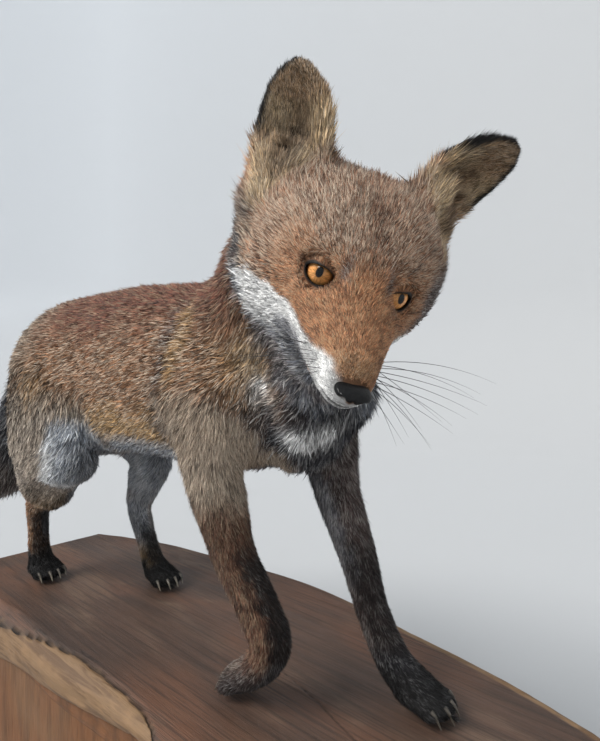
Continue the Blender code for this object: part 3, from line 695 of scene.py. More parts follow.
def markings(points, normals, weights, shades):
    """Colour, tip colour and share of pale tips at each place, painted from the flanks up.

    Every marking is a mask between 0 and 1 of the place and of the way the skin faces.
    """
    p, n = points, normals
    x, y, z = p[:, 0], np.abs(p[:, 1] + 0.004), p[:, 2]
    h = to_head(p)
    w = dict(zip(FLESH, weights.T))
    drift, ragged, fine = noise(p, 0.030, 1), noise(p, 0.012, 2), noise(p, 0.005, 3)
    zr = z + 0.010 * drift + 0.006 * ragged
    xr = x + 0.008 * drift + 0.005 * ragged
    coat = np.repeat(shades["tan"][None], len(p), 0)

    def paint(name, mask):
        mask = np.clip(mask, 0, 1)[:, None]
        coat[:] = coat * (1 - mask) + shades[name] * mask

    body = w["trunk"] + w["neck"]
    paint("straw", step(0.262, 0.222, zr) * step(-0.27, -0.20, xr) * step(0.10, 0.04, xr))
    paint("straw", 0.75 * step(0.30, 0.26, zr) * bell(xr, -0.215, 0.030) * step(0.20, 0.23, zr))
    paint("grizzle", 0.35 * step(0.08, 0.13, xr) * step(0.30, 0.24, zr))
    paint("ash", 0.30 * step(0.06, 0.11, xr) * step(0.24, 0.20, zr))
    paint("russet", step(0.285, 0.345, zr - 0.10 * np.maximum(-0.10 - x, 0)) * step(-0.36, -0.22, xr))
    paint("grizzle", step(-0.205, -0.285, xr - 0.25 * (z - 0.27)))
    paint("russet", 0.35 * step(0.345, 0.365, zr) * step(-0.20, -0.30, x))
    # Stripes of the shoulder: pale, then a dark band, and a dark spot low behind it.
    slant = xr - 0.31 * (z - 0.28)
    paint("straw", 0.80 * bell(slant, 0.0745, 0.0095) * step(0.25, 0.28, z) * step(0.345, 0.325, z))
    paint("charcoal", 0.60 * bell(slant, 0.0560, 0.0075) * step(0.22, 0.24, z) * step(0.345, 0.32, z))
    paint("straw", bell(xr, 0.070, 0.012) * bell(z, 0.247, 0.010) * 0.9)
    paint("charcoal", 0.85 * bell(xr, 0.045, 0.012) * bell(z, 0.228, 0.011))
    # Belly and inner thighs.
    belly = step(0.186, 0.176, zr - 0.01 * step(0.02, -0.14, x)) * step(0.13, 0.09, x)
    paint("ash", np.maximum(belly, step(-0.55, -0.80, n[:, 2])) * body)
    # Chest: charcoal, with a white patch low in the middle and silver at its edges.
    front = step(0.20, 0.55, n[:, 0] + 0.35 * step(0.24, 0.18, z))
    front = front * step(0.345, 0.305, zr) * step(0.10, 0.14, x)
    inner = step(0.10, 0.145, x) * step(0.052, 0.036, y) * step(0.27, 0.22, zr)
    front = np.maximum(front, inner) * step(-0.068, -0.050, p[:, 1] + 0.5 * (zr - z))
    paint("charcoal", front * np.minimum(1, body + w["leg_front_right"] + 0.6 * w["leg_front_left"]))
    paint("ash", 0.35 * front * step(0.215, 0.195, z) * body)
    # Neck: dark nape with silver, straw sides, pale throat side.
    neck = w["neck"]
    nape = step(0.30, 0.70, n[:, 2]) * step(0.30, 0.34, z)
    paint("russet", neck * step(0.1, 0.5, n[:, 2]))
    paint("grizzle", 0.7 * neck * nape * step(0.13, 0.18, x))
    sides = step(0.25, 0.6, np.abs(n[:, 1]))
    # The cream patch on the neck's side is partly its pale marking, partly painted light where the cheek
    # shades it.
    paint("cream", 0.85 * body * bell(x, 0.166, 0.019) * bell(zr, 0.291, 0.018) * sides)
    paint("straw", 0.45 * body * bell(x, 0.156, 0.028) * bell(zr, 0.286, 0.030) * sides)
    paint("charcoal", 0.8 * body * step(0.152, 0.168, xr) * step(0.262, 0.250, zr) * step(0.19, 0.21, zr))
    paint("charcoal", 0.8 * neck * step(0.180, 0.194, xr) * step(0.335, 0.306, zr))
    paint("ash", 0.50 * neck * step(0.194, 0.210, xr + 0.3 * (0.30 - z)) * step(0.37, 0.33, zr))
    paint("white", 0.95 * body * bell(xr, 0.170, 0.013) * bell(zr, 0.270, 0.012) * sides)
    patch = bell(p[:, 1], -0.024 + 0.4 * (z - 0.229), 0.0095) * bell(z, 0.229, 0.012)
    paint("white", 1.9 * patch * step(0.165, 0.185, x))
    paint_legs(paint, p, n, w, zr, drift, fine)
    paint_tail(paint, p, n, w, drift)
    paint_head(paint, h, w["head"], ragged, fine)
    for name in EARS:
        paint_ear(paint, p, n, w[name], w["head"], name, ragged)
    light = 1 + 0.16 * drift + 0.14 * ragged + 0.12 * fine
    coat[:, :3] *= light[:, None]
    return coat


def paint_legs(paint, p, n, w, zr, drift, fine):
    """Legs: brown outer and rear sides, black fronts and paws; hind ones grizzled above."""
    x, z = p[:, 0], p[:, 2]
    outside = n[:, 1] * np.sign(p[:, 1])
    for name in ("leg_front_right", "leg_front_left"):
        right = name.endswith("right")
        low = w[name] * (step(0.180, 0.145, zr) if right else step(0.225, 0.175, zr))
        paint("fawn", 0.8 * w[name] * right)
        paint("frost", 0.55 * w[name] * right * step(0.14, 0.18, z))
        paint("bracken", low * (0.85 if right else 0.35))
        if not right:
            paint("charcoal", 0.45 * low)
            paint("ash", 0.42 * low * step(0.08, 0.11, z) * step(0.55, -0.1, n[:, 0] + 0.4 * fine))
        ahead = step(0.05, 0.62, n[:, 0] + 0.35 * -outside + 0.25 * fine)
        paint("soot", (0.92 if right else 0.70) * w[name] * step(0.160, 0.110, zr) * ahead)
        paint("charcoal", 0.80 * w[name] * step(0.055, 0.030, zr))
        paint("grizzle", 0.35 * w[name] * right * step(0.05, 0.03, z) * step(0.0, -0.5, n[:, 0]))
        paint("soot", (0.45 if right else 0.95) * w[name] * step(0.045, 0.022, z))
    for name in ("leg_hind_right", "leg_hind_left"):
        right = name.endswith("right")
        thigh = w[name] * step(0.10, 0.13, zr) * step(0.275, 0.225, zr)
        paint("grizzle", thigh)
        paint("frost", 0.22 * thigh)
        paint("ash", 0.12 * thigh)
        edge = np.interp(z, (0.10, 0.13, 0.17, 0.24), (-0.200, -0.182, -0.170, -0.172))
        ahead_of = x - (edge if right else -0.155) + 0.006 * drift
        pale = step(-0.006, 0.006, ahead_of) * step(0.10, 0.12, z) * step(0.235, 0.215, z)
        paint("ash", w[name] * np.maximum(pale, step(0.1, -0.5, outside) * step(0.10, 0.13, z)))
        streak = bell(ahead_of, 0.006, 0.008) * step(0.105, 0.125, z) * step(0.215, 0.190, z)
        paint("white", (0.9 if right else 0.4) * w[name] * streak)
        groin = bell(ahead_of, 0.034, 0.012) * step(0.12, 0.15, z) * step(0.21, 0.19, z)
        paint("charcoal", 0.45 * w[name] * groin)
        low = w[name] * step(0.130, 0.105, zr)
        paint("rust", 0.62 * low * step(0.25, -0.35, n[:, 0]) * step(0.030, 0.055, z))
        paint("ash", 0.8 * low * step(0.3, -0.2, outside) * step(0.050, 0.070, z))
        if not right:
            paint("ash", 0.7 * low * step(0.035, 0.060, z))
        reach = 1.0 if right else step(0.09, 0.06, z)
        paint("soot", 0.85 * low * step(0.20, 0.65, n[:, 0] + 0.25 * fine) * reach)
        paint("soot", w[name] * step(0.050, 0.030, zr))


def paint_tail(paint, p, n, w, drift):
    """Tail: grizzled at the root, dark grey to black on its length, a small white tip."""
    x = p[:, 0] + 0.012 * drift
    paint("charcoal", w["tail"] * step(-0.335, -0.375, x))
    paint("soot", 0.65 * w["tail"] * step(-0.36, -0.42, x) * step(-0.3, 0.5, n[:, 2] + 0.4 * drift))
    paint("grizzle", 0.35 * w["tail"] * step(0.0, -0.7, n[:, 2]) * step(-0.38, -0.45, x))
    paint("white", w["tail"] * step(-0.655, -0.680, x))


def paint_head(paint, h, head, ragged, fine):
    """Face: frosted fawn forehead, rust muzzle, white lips and cheeks, dark tear lines."""
    x, y, z = h[:, 0], np.abs(h[:, 1]), h[:, 2]
    rough = 0.0016 * ragged + 0.0012 * fine
    paint("fawn", head)
    paint("rust", head * step(-0.094, -0.062, x + rough) * step(0.045, 0.030, z))
    paint("rust", 0.55 * head * bell(x, -0.080, 0.012) * step(0.028, 0.045, y) * step(-0.010, 0.004, z))
    paint("russet", 0.35 * head * bell(y, 0.0, 0.007) * step(-0.058, -0.075, x))
    paint("rust", 0.8 * head * step(-0.112, -0.130, x) * step(0.052, 0.064, y) * step(0.018, 0.032, z))
    paint("straw", 0.4 * head * bell(x, -0.010, 0.008) * step(0.0, 0.006, z))
    # Ruff: grey with dark and silver tips behind the cheeks.
    paint("grizzle", 0.8 * head * step(-0.100, -0.125, x + 4 * rough) * step(0.030, 0.012, z + 3 * rough))
    behind = step(-0.118, -0.140, x + 3 * rough) * step(0.050, 0.064, y) * step(0.040, 0.015, z)
    paint("charcoal", 0.85 * head * behind)
    left = (h[:, 1] > 0) * step(-0.078, -0.090, x + 2 * rough) * step(0.038, 0.047, y)
    paint("charcoal", 0.75 * head * left * step(0.045, 0.025, z) * step(-0.02, 0.0, z))
    # White from the nose along the lip and below the eye to the cheek and throat.
    top = np.interp(-x, (0.004, 0.016, 0.025, 0.045, 0.070, 0.100, 0.125, 0.150),
                    (0.0010, 0.0055, 0.0020, -0.0045, -0.0015, -0.0050, -0.0160, -0.0280))
    low = np.interp(-x, (0.020, 0.036, 0.046, 0.058, 0.070, 0.085, 0.098, 0.107, 0.117, 0.121, 0.135),
                    (-0.0400, -0.0170, -0.0120, -0.0105, -0.0125, -0.0210, -0.0400, -0.0420, -0.0370,
                     -0.0250, -0.0200))
    top = top - 0.0085 * (h[:, 1] > 0) * step(0.004, -0.008, x)
    beside = step(0.0045, 0.0075, y + 1.2 * np.maximum(-0.001 - z, 0))
    under = step(0.0022, -0.0022, z - top - rough) * beside
    below = z - low - 2 * rough
    paint("ash", 0.9 * head * under * step(-0.030, -0.045, x))
    flecks = head * (0.6 + 0.4 * fine)
    paint("charcoal", 0.62 * flecks * step(0.004, -0.006, below) * step(-0.034, -0.048, x))
    paint("white", head * under * step(-0.0040, 0.0030, below) * step(-0.140, -0.122, x + rough))
    roots = bell(x, -0.034, 0.010) * bell(z, -0.0055, 0.0035) * step(0.014, 0.018, y)
    paint("soot", 0.55 * flecks * roots)
    # Dark places: lips, painted shade in the hollow between the brows, inner corners of the eyes and tear
    # lines.
    lip = bell(z, mouth_height(x), 0.0013) * step(-0.074, -0.064, x) * step(0.004, 0.001, x)
    paint("soot", head * 0.9 * lip)
    # Painted shade in the hollow before the eyes, where the skin is drawn in.
    hollow_shade = bell(x, -0.0620, 0.0065) * bell(y, 0.0120, 0.0030) * step(0.022, 0.030, z)
    paint("charcoal", head * 0.75 * hollow_shade)
    from_corner = np.stack([x + 0.0620, y - 0.0200, z - 0.0188], 1)
    along = from_corner @ (0.978, -0.180, 0.104)
    across = np.sqrt(np.maximum((from_corner ** 2).sum(1) - along ** 2, 0))
    paint("soot", 1.5 * head * bell(along, 0.0, 0.0065) * bell(across, 0.0, 0.0031))


def ear_half(share):
    """Half of an ear's width at a share of its length."""
    share = np.clip(share, 0.0, 0.985)
    return 0.0315 * HEAD_SCALE * (1 - share ** 2.3) ** 0.62 * (0.86 + 0.36 * share)


def ear_mouth(points, normals, name):
    """1 in the hollow that runs from an ear's opening down to its root on the head, else 0."""
    share, across, _, opening, _ = ear_places(points, name)
    half = np.interp(share, (-0.26, 0.0, 0.15, 0.35), (0.004, 0.013, 0.022, 0.027))
    inside = step(1.12, 0.82, np.abs(across) / half)
    return inside * step(-0.27, -0.16, share) * step(-0.05, 0.30, normals @ opening)


def paint_ear(paint, p, n, ear, head, name, ragged):
    """Ear: cream inside with a brown hollow, black back, rim and tip; cream tufts at its root."""
    share, across, _, opening, aside = ear_places(p, name)
    s = share + 0.03 * ragged
    front = step(-0.05, 0.25, n @ opening)
    outer = np.sign(EARS[name][0][1]) * across * np.sign(aside @ HEAD_AXES[1])
    rim = step(0.0078, 0.0045, ear_half(share) - np.abs(outer) + 0.0012 * ragged)
    mouth = np.maximum(ear * front, head * ear_mouth(p, n, name))
    paint("cream", mouth)
    right = name == "ear_right"
    middle = bell(outer, -0.001 if right else 0.004, 0.0115)
    hollow = mouth * middle * step(-0.10, 0.08, s) * step(0.90, 0.62, s)
    paint("umber", hollow * (0.75 if right else 0.95))
    paint("soot", 0.45 * mouth * bell(outer, -0.004 if right else 0.008, 0.007) * bell(s, 0.22, 0.16))
    paint("tan", 0.5 * mouth * step(0.62, 0.75, s))
    paint("rust", 0.6 * mouth * step(0.008, 0.016, outer) * step(0.15, -0.05, s) * right)
    paint("rust", ear * (1 - front) * step(0.45, 0.2, s))
    paint("soot", ear * (1 - front) * step(0.22, 0.45, s))
    paint("grizzle", 0.6 * ear * bell(s, 0.93, 0.035))
    paint("soot", ear * step(0.945, 0.975, s))
    paint("soot", ear * rim * (outer > 0) * step(0.25, 0.36 if right else 0.40, s))
    if not right:
        paint("soot", ear * rim * (outer < 0) * step(0.42, 0.52, s))


# ---------------------------------------------------------------- the coat
HAIR_KINDS = {
    # Corners as (share of the run, share of the width, share of the rise), then the triangles and how bright
    # the root is beside the middle: darker under-hair, and painted shade deep in the coat.
    "spike": (((0.0, -1.0, 0.0), (0.0, 1.0, 0.0), (1.0, 0.0, 1.0)), ((0, 1, 2),), 0.58),
    "kite": (((0.0, 0.0, 0.0), (0.42, -1.0, 0.66), (0.42, 1.0, 0.66), (1.0, 0.0, 1.0)),
             ((0, 2, 1), (1, 2, 3)), 0.26),
    "blade": (((0.0, -1.0, 0.0), (0.0, 1.0, 0.0), (0.5, -0.85, 0.75), (0.5, 0.85, 0.75),
               (1.0, 0.0, 1.0)),
              ((0, 1, 3), (0, 3, 2), (2, 3, 4)), 0.40),
}


def tufts(name, surface, count, kind, shape, shades, rng, wildness, material):
    """Tapering tufts rooted at random places of a surface.

    A tuft's corners lie at shares of its run along the way of the hair, of half its width to the
    sides and of its rise off the skin; in between it stands rise * (1 - (1 - u)^2) high at a share
    u of its run, so that it bends over and lies along the body.
    surface: triangles, and points, normals, way, weights, depth, uv and density at every vertex.
    shape: function of the root's places that gives length, width and rise in metres.
    """
    corners_of, faces_of, root_shade = (np.array(part) for part in HAIR_KINDS[kind])
    tri = surface["triangles"]
    corners = surface["points"][tri]
    area = np.linalg.norm(np.cross(corners[:, 1] - corners[:, 0], corners[:, 2] - corners[:, 0]), axis=1)
    chance = np.cumsum(area * surface["density"][tri].mean(1))
    pick = tri[np.searchsorted(chance, rng.random(count) * chance[-1])]
    a, b = rng.random(count), rng.random(count)
    over = a + b > 1
    a[over], b[over] = 1 - a[over], 1 - b[over]
    bary = np.stack([1 - a - b, a, b], 1)[..., None]

    def at(key):
        values = surface[key]
        return (values[pick] * (bary if values.ndim > 1 else bary[..., 0])).sum(1)

    root, up, way = at("points"), unit(at("normals")), at("way")
    weights = at("weights")
    # Locks: neighbouring tufts swerve together; each also strays a little by itself.
    side = unit(np.cross(way, up))
    way = unit(np.cross(up, side))
    swerve = wildness * (0.30 * noise(root, 0.011, 11) + 0.20 * noise(root, 0.0045, 12)
                         + 0.16 * rng.standard_normal(count))
    way, side = (way * np.cos(swerve)[:, None] + side * np.sin(swerve)[:, None],
                 side * np.cos(swerve)[:, None] - way * np.sin(swerve)[:, None])
    long, wide, rise = shape(root, up, weights, at("depth"))
    lift = 1 + 0.24 * noise(root, 0.006, 13) + 0.20 * rng.standard_normal(count)
    guard = rng.random(count) < 0.05
    long = long * np.clip(1 + 0.20 * rng.standard_normal(count), 0.5, 1.6)
    long = long * np.where(guard, 1.25, 1.0)
    lift = lift + 0.35 * guard
    rise = np.minimum(rise * np.clip(lift, 0.40, 1.75), 0.85 * long)
    run = np.sqrt(long ** 2 - rise ** 2)
    roll = 0.5 * rng.standard_normal(count)
    edge = side * np.cos(roll)[:, None] + up * np.sin(roll)[:, None]
    half = (wide * np.clip(1 + 0.3 * rng.standard_normal(count), 0.4, 1.9) / 2)[:, None]
    stray = side * (0.08 * long * rng.standard_normal(count))[:, None]
    along, broad, high = corners_of.T[:, :, None, None]
    points = (root - up * ROOT_DEPTH + way * run[:, None] * along + edge * half * broad
              + up * rise[:, None] * high + stray * along ** 2).transpose(1, 0, 2)
    # Colours: dark under-hair at the root, darkened further as painted shade deep in the coat, the marking
    # in the middle, then a pale or dark tip.
    # Neighbours share part of their luck, so that pale and dark hairs gather in small locks.
    coat = markings(root, up, weights, shades)
    lock = noise(root, 0.0022 + 1.4 * wide.mean(), 14)
    luck = rng.random(count) + 0.30 * lock
    pale = ((luck < coat[:, 6]) * rng.uniform(0.35, 1.0, count))[:, None]
    dark = ((luck > 0.74) * rng.uniform(0.35, 0.85, count))[:, None]
    light = np.clip(np.exp(0.48 * rng.standard_normal(count) - 0.34 * lock), 0.3, 1.9)
    body = coat[:, :3] * light[:, None]
    ends = (body * (1 - pale) + coat[:, 3:6] * pale) * (1 - dark)
    waist = (body * (1 - 0.45 * pale) + coat[:, 3:6] * 0.45 * pale) * (1 - 0.5 * dark)
    mix = np.clip(2 * along, 0, 1), np.clip(2 * along - 1, 0, 1)
    under = body * (root_shade + 0.40 * coat[:, :3].mean(1, keepdims=True))
    colours = (under * (1 - mix[0]) + waist * (mix[0] - mix[1]) + ends * mix[1]).transpose(1, 0, 2)
    # Shading normals lean from the skin's own towards the tuft's side, so light rolls over locks.
    facing = unit(up + side * (0.75 * rng.standard_normal(count))[:, None] + 0.15 * way)
    normals = np.repeat(facing[:, None], len(corners_of), 1)
    spots = np.stack([0.5 * corners_of[:, 1], corners_of[:, 0]], 1) * TUFT_PATCH
    uv = np.clip(at("uv")[:, None] * (1 - 2 * TUFT_PATCH) + TUFT_PATCH + spots, 0, 1)
    first = len(corners_of) * np.arange(count)[:, None, None]
    faces = (first + faces_of).reshape(-1, 3)
    piece = new_piece(name, points.reshape(-1, 3), faces, fields={"coat": colours.reshape(-1, 3)},
                      uv=uv.reshape(-1, 2), normals=normals.reshape(-1, 3))
    finish_piece(piece, material)


def from_eye(h):
    """Distance of places in the head's frame from the nearer eye's centre."""
    return np.minimum(*(np.linalg.norm(h - EYE_CENTRE * (1, side, 1), axis=1) for side in (1, -1)))


def on_head(h, table):
    """Value for a place on the head, read from a table of distance behind the nose and value."""
    return np.interp(-h[:, 0], [row[0] for row in table], [row[1] for row in table])


# Length and width of the hair at distances behind the nose's tip.
HEAD_LENGTH = ((0.0, 0.0016), (0.010, 0.0026), (0.030, 0.0042), (0.060, 0.0056), (0.080, 0.0072),
               (0.105, 0.0100), (0.130, 0.0140), (0.165, 0.0180))
HEAD_WIDTH = ((0.0, 0.00045), (0.030, 0.00075), (0.060, 0.00090), (0.105, 0.00110), (0.165, 0.00125))


def hair_shape(root, up, weights, depth):
    """Length, width and rise of the tufts at each root, blended between the parts."""
    h = to_head(root)
    z = root[:, 2]
    leg_long = np.interp(z, (0.0, 0.03, 0.08, 0.15, 0.20, 0.28),
                         (0.0050, 0.0058, 0.0070, 0.0095, 0.0130, 0.0160))
    leg_long = leg_long + 0.003 * step(-0.10, -0.14, root[:, 0]) * bell(z, 0.175, 0.040)
    leg_wide = np.interp(z, (0.0, 0.08, 0.28), (0.00070, 0.00090, 0.00125))
    tail_end = np.interp(root[:, 0], (-0.705, -0.640, -0.560), (0.25, 0.70, 1.0))
    long, wide = np.zeros(len(root)), np.zeros(len(root))
    sizes = {"trunk": (0.0132, 0.00115), "neck": (0.0145, 0.00110), "tail": (0.0360 * tail_end, 0.00140),
             "head": (on_head(h, HEAD_LENGTH), on_head(h, HEAD_WIDTH))}
    for index, name in enumerate(FLESH):
        if name in sizes:
            size = sizes[name]
        elif name.startswith("leg"):
            size = (leg_long, leg_wide)
        else:
            place = ear_places(root, name)[0]
            size = (np.interp(place, (0.2, 0.8, 1.0), (0.0062, 0.0046, 0.0026)), 0.00055)
        long += weights[:, index] * size[0]
        wide += weights[:, index] * size[1]
    long *= np.interp(from_eye(h), (0.011, 0.017, 0.026), (0.35, 0.6, 1.0))
    mouth = weights[:, FLESH.index("head")] * np.maximum(*(ear_mouth(root, up, name) for name in EARS))
    long *= 1 - 0.50 * mouth
    return long, wide, 0.96 * depth


def ear_fringe(root, up, weights, depth):
    """Longer pale hair inside the ears, longest at the inner base."""
    place = np.maximum(*(ear_places(root, name)[0] * (ear_mouth(root, up, name) > 0.02)
                         for name in EARS))
    long = np.interp(place, (0.0, 0.4, 0.8), (0.0150, 0.0130, 0.0070))
    return long, np.full(len(root), 0.00050), 0.20 * long


def coat_surface(skin, mask):
    """The faces of the skin under one coat piece, with a density that grows as hair gets finer."""
    h = to_head(skin.points)
    eye = from_eye(h)
    nose = np.linalg.norm((h - (-0.0055, 0, -0.0030)) / (0.011, 0.0108, 0.0072), axis=1)
    _, wide, _ = hair_shape(skin.points, skin.normals, skin.weights, skin.depth)
    density = (0.0010 / wide) ** 1.3 * step(0.0105, 0.0120, eye) * step(0.95, 1.05, nose)
    tri = skin.triangles[mask[skin.triangles].mean(1) > 0.5]
    uv = np.stack([skin.turn, skin.share], 1)
    return {"triangles": tri, "points": skin.points, "normals": skin.normals, "way": skin.way,
            "weights": skin.weights, "density": density, "depth": skin.depth, "uv": uv}


def coat_pieces(skin):
    """Name, vertex mask, number and kind of the tufts of every coat piece."""
    h = to_head(skin.points)
    name_of = np.array(FLESH)[skin.part]
    head, trunk = name_of == "head", name_of == "trunk"
    muzzle = head & (h[:, 0] > -0.088)
    crown = head & ~muzzle & (h[:, 2] > 0.012)
    back = trunk & (skin.points[:, 2] > 0.300)
    places = (("face", muzzle, 172000, "spike"), ("crown", crown, 160000, "spike"),
              ("ruff", head & ~muzzle & ~crown, 84000, "kite"),
              ("neck", name_of == "neck", 80000, "kite"),
              ("back", back, 88000, "kite"), ("flanks", trunk & ~back, 94000, "kite"),
              ("tail", name_of == "tail", 32000, "blade"))
    members = (("leg_front_right", 62000, "spike"), ("leg_front_left", 62000, "spike"),
               ("leg_hind_right", 56000, "kite"), ("leg_hind_left", 58000, "spike"),
               ("ear_right", 26000, "spike"), ("ear_left", 26000, "spike"))
    pieces = (*places, *((name, name_of == name, count, kind) for name, count, kind in members))
    return [("coat_" + name, mask, count, kind) for name, mask, count, kind in pieces]


# ---------------------------------------------------------------- finishes
def coat_finish():
    """Hair: the stored markings, varied finely, with a dull silky shine."""
    finish = Finish("fox_coat", {"Roughness": 0.62, "Specular IOR Level": 0.22, "Sheen Weight": 0.04})
    grain = finish.noise(900.0, 2.0)
    shade = finish.mix(0.30, finish.field("coat", "Color"), finish.add(
        "ShaderNodeValToRGB", {"stops": [(0.3, (0.55, 0.55, 0.55)), (0.7, (1.0, 1.0, 1.0))]}, {0: grain}),
        "MULTIPLY")
    finish.set("Base Color", shade)
    finish.set("Roughness", 0.52 + grain * 0.2)
    return finish.material


def skin_finish():
    """Skin and under-hair: the same markings, darker (partly darker under-hair, partly painted shade between
    the tufts), with a short nap as bump.
    """
    finish = Finish("fox_skin", {"Roughness": 0.85, "Specular IOR Level": 0.15})
    nap = finish.noise(1500.0, 3.0)
    blotch = finish.noise(160.0, 3.0)
    shade = finish.mix(nap * 0.5 + blotch * 0.3, finish.field("coat", "Color"), (0.02, 0.017, 0.015))
    finish.set("Base Color", shade)
    finish.set("Roughness", 0.75 + nap * 0.2)
    finish.bump(nap, 0.0008)
    return finish.material


def eye_finish(face):
    """Glass eye: dark slit pupil, spoked amber iris with a dark edge, a painted shadow of the upper lid and
    a darker ring round the pupil, dark outside, wet coat.
    """
    finish = Finish("fox_eye", {"Roughness": 0.3, "Specular IOR Level": 0.1, "Coat Weight": 0.5,
                                "Coat Roughness": 0.03})
    spoke = finish.add("ShaderNodeTexNoise", {}, {"Vector": finish.field("spoke", "Vector"), "Scale": 3.4,
                                                  "Detail": 4.0, "Roughness": 0.6})
    iris = finish.mix(spoke.step(0.30, 0.72), tuple(c * 0.42 for c in face.iris), tuple(face.iris))
    iris = finish.mix(finish.field("iris_edge"), iris, tuple(face.iris_rim))
    # Painted shadow of the upper lid at the iris's top, and a darker ring round the pupil.
    iris = finish.mix(finish.field("shade"), iris, tuple(c * 0.18 for c in face.iris))
    iris = finish.mix(finish.field("outside"), iris, (0.012, 0.010, 0.010))
    finish.set("Base Color", finish.mix(finish.field("pupil"), iris, (0.003, 0.003, 0.003)))
    finish.set("Roughness", 0.18 + spoke * 0.15)
    return finish.material


def leather_finish(face):
    """Nose pad: dark pebbled leather with a slight wet shine."""
    finish = Finish("fox_nose_leather", {"Roughness": 0.4, "Specular IOR Level": 0.14,
                                         "Coat Weight": 0.25, "Coat Roughness": 0.16})
    pebble = finish.add("ShaderNodeTexVoronoi", {"feature": "DISTANCE_TO_EDGE"},
                        {"Vector": finish.place(), "Scale": 1300.0})
    tone_of = finish.noise(260.0, 3.0)
    finish.set("Base Color", finish.mix(tone_of, tuple(c * 0.6 for c in face.leather),
                                        tuple(min(1, c * 1.9) for c in face.leather)))
    finish.set("Roughness", 0.34 + tone_of * 0.22)
    finish.bump(pebble.step(0.0, 0.22) + tone_of, 0.00045)
    return finish.material


def whisker_finish(face):
    """Whiskers: dark horn in two tones."""
    finish = Finish("fox_whisker", {"Roughness": 0.4})
    grain = finish.noise(300.0, 4.0)
    finish.set("Base Color", finish.mix(grain.step(0.3, 0.7), tuple(face.whisker),
                                        tuple(2 * c for c in face.whisker)))
    finish.set("Roughness", 0.32 + grain * 0.16)
    finish.bump(grain, 0.00002)
    return finish.material


def claw_finish(face):
    """Claws: horn that is dark at the root and pale and streaked at the tip."""
    finish = Finish("fox_claw", {"Roughness": 0.38, "Coat Weight": 0.2})
    streak = finish.noise(500.0, 3.0)
    finish.set("Base Color", finish.mix(finish.field("along") * 0.8 + streak * 0.3, tuple(face.claw_root),
                                        tuple(face.claw)))
    finish.bump(streak, 0.0001)
    return finish.material


def lid_finish(face):
    """Lids: bare black rims that merge into short coat colours."""
    finish = Finish("fox_lid", {"Roughness": 0.5, "Specular IOR Level": 0.15})
    nap = finish.noise(1400.0, 3.0)
    shade = finish.mix(nap * 0.5, finish.field("coat", "Color"), (0.02, 0.017, 0.015))
    finish.set("Base Color", finish.mix(finish.field("rim"), shade, tuple(face.lid)))
    finish.set("Roughness", 0.68 - finish.field("rim") * 0.32)
    finish.bump(nap, 0.0004)
    return finish.material


def slab_finish(wood):
    """Planed top with streaky grain, pale live edge, bark, and cracks painted near-black as shade."""
    finish = Finish("fox_base_slab", {"Roughness": 0.55, "Specular IOR Level": 0.35})
    wide = finish.noise(1.0, 4.0, (4, 90, 40), 0.6, 0.3)
    lines = finish.noise(1.0, 3.0, (9, 420, 200), 0.6, 0.15)
    fine = finish.noise(1.0, 3.0, (22, 1100, 500), 0.7)
    pores = finish.noise(1.0, 2.0, (60, 1500, 900))
    patch = finish.noise(6.5, 3.0, (0.7, 1.6, 1), 0.5, 0.6)
    wear = finish.noise(14.0, 5.0, (0.6, 1.5, 1), 0.6, 0.4)
    heart = finish.mix(wide.step(0.30, 0.60) * 0.6 + 0.4, tuple(wood.heart_dark), tuple(wood.heart))
    heart = finish.mix(patch.step(0.42, 0.70) * 0.75, heart, tuple(wood.heart_red))
    heart = finish.mix(wear.step(0.50, 0.72) * 0.5, heart, tuple(wood.worn))
    heart = finish.mix(lines.step(0.50, 0.62) * 0.60, heart, tuple(wood.heart_dark))
    heart = finish.mix(fine.step(0.52, 0.70) * 0.40, heart, tuple(wood.heart_dark))
    band = finish.noise(1.0, 5.0, (10, 70, 220), 0.65, 0.8)
    sap = finish.mix(band.step(0.45, 0.60) * 0.8, tuple(wood.sap), tuple(wood.sap_dark))
    sap = finish.mix(finish.noise(60.0, 4.0, (0.5, 1, 2)).step(0.45, 0.7) * 0.6, sap,
                     tuple(min(1, 1.3 * c) for c in wood.sap))
    shade = finish.mix(finish.field("rim"), heart, sap)
    below = finish.noise(1.0, 4.0, (110, 110, 14), 0.6, 0.5)
    block = finish.mix(below.step(0.35, 0.68), tuple(wood.face), tuple(wood.face_dark))
    shade = finish.mix(finish.field("block"), shade, block)
    crumb = finish.noise(220.0, 5.0, (0.5, 1, 1), 0.7)
    bark = finish.mix(crumb.step(0.35, 0.65), tuple(wood.bark), tuple(0.35 * c for c in wood.bark))
    shade = finish.mix(finish.field("bark"), shade, bark)
    # Painted shade: crack and split turn near-black.
    shade = finish.mix(finish.field("crack"), shade, (0.012, 0.009, 0.007))
    finish.set("Base Color", shade)
    finish.set("Roughness", 0.44 + wear * 0.2 + fine * 0.12)
    finish.bump(wide * 0.35 + fine * 0.4 + pores * 0.25 + crumb * finish.field("bark"), 0.0012)
    return finish.material


def block_finish(wood):
    """Sides of the block: light tan wood with short upright grain."""
    finish = Finish("fox_base_block", {"Roughness": 0.6, "Specular IOR Level": 0.3})
    below = finish.noise(1.0, 4.0, (110, 110, 14), 0.6, 0.5)
    fine = finish.noise(1.0, 3.0, (700, 700, 45), 0.6)
    cloud = finish.noise(9.0, 4.0)
    shade = finish.mix(below.step(0.35, 0.68), tuple(wood.face), tuple(wood.face_dark))
    shade = finish.mix(cloud.step(0.4, 0.7) * 0.4, shade, tuple(wood.sap))
    shade = finish.mix(fine.step(0.5, 0.72) * 0.45, shade, tuple(0.6 * c for c in wood.face_dark))
    finish.set("Base Color", shade)
    finish.set("Roughness", 0.5 + fine * 0.2)
    finish.bump(below * 0.5 + fine * 0.5, 0.0008)
    return finish.material


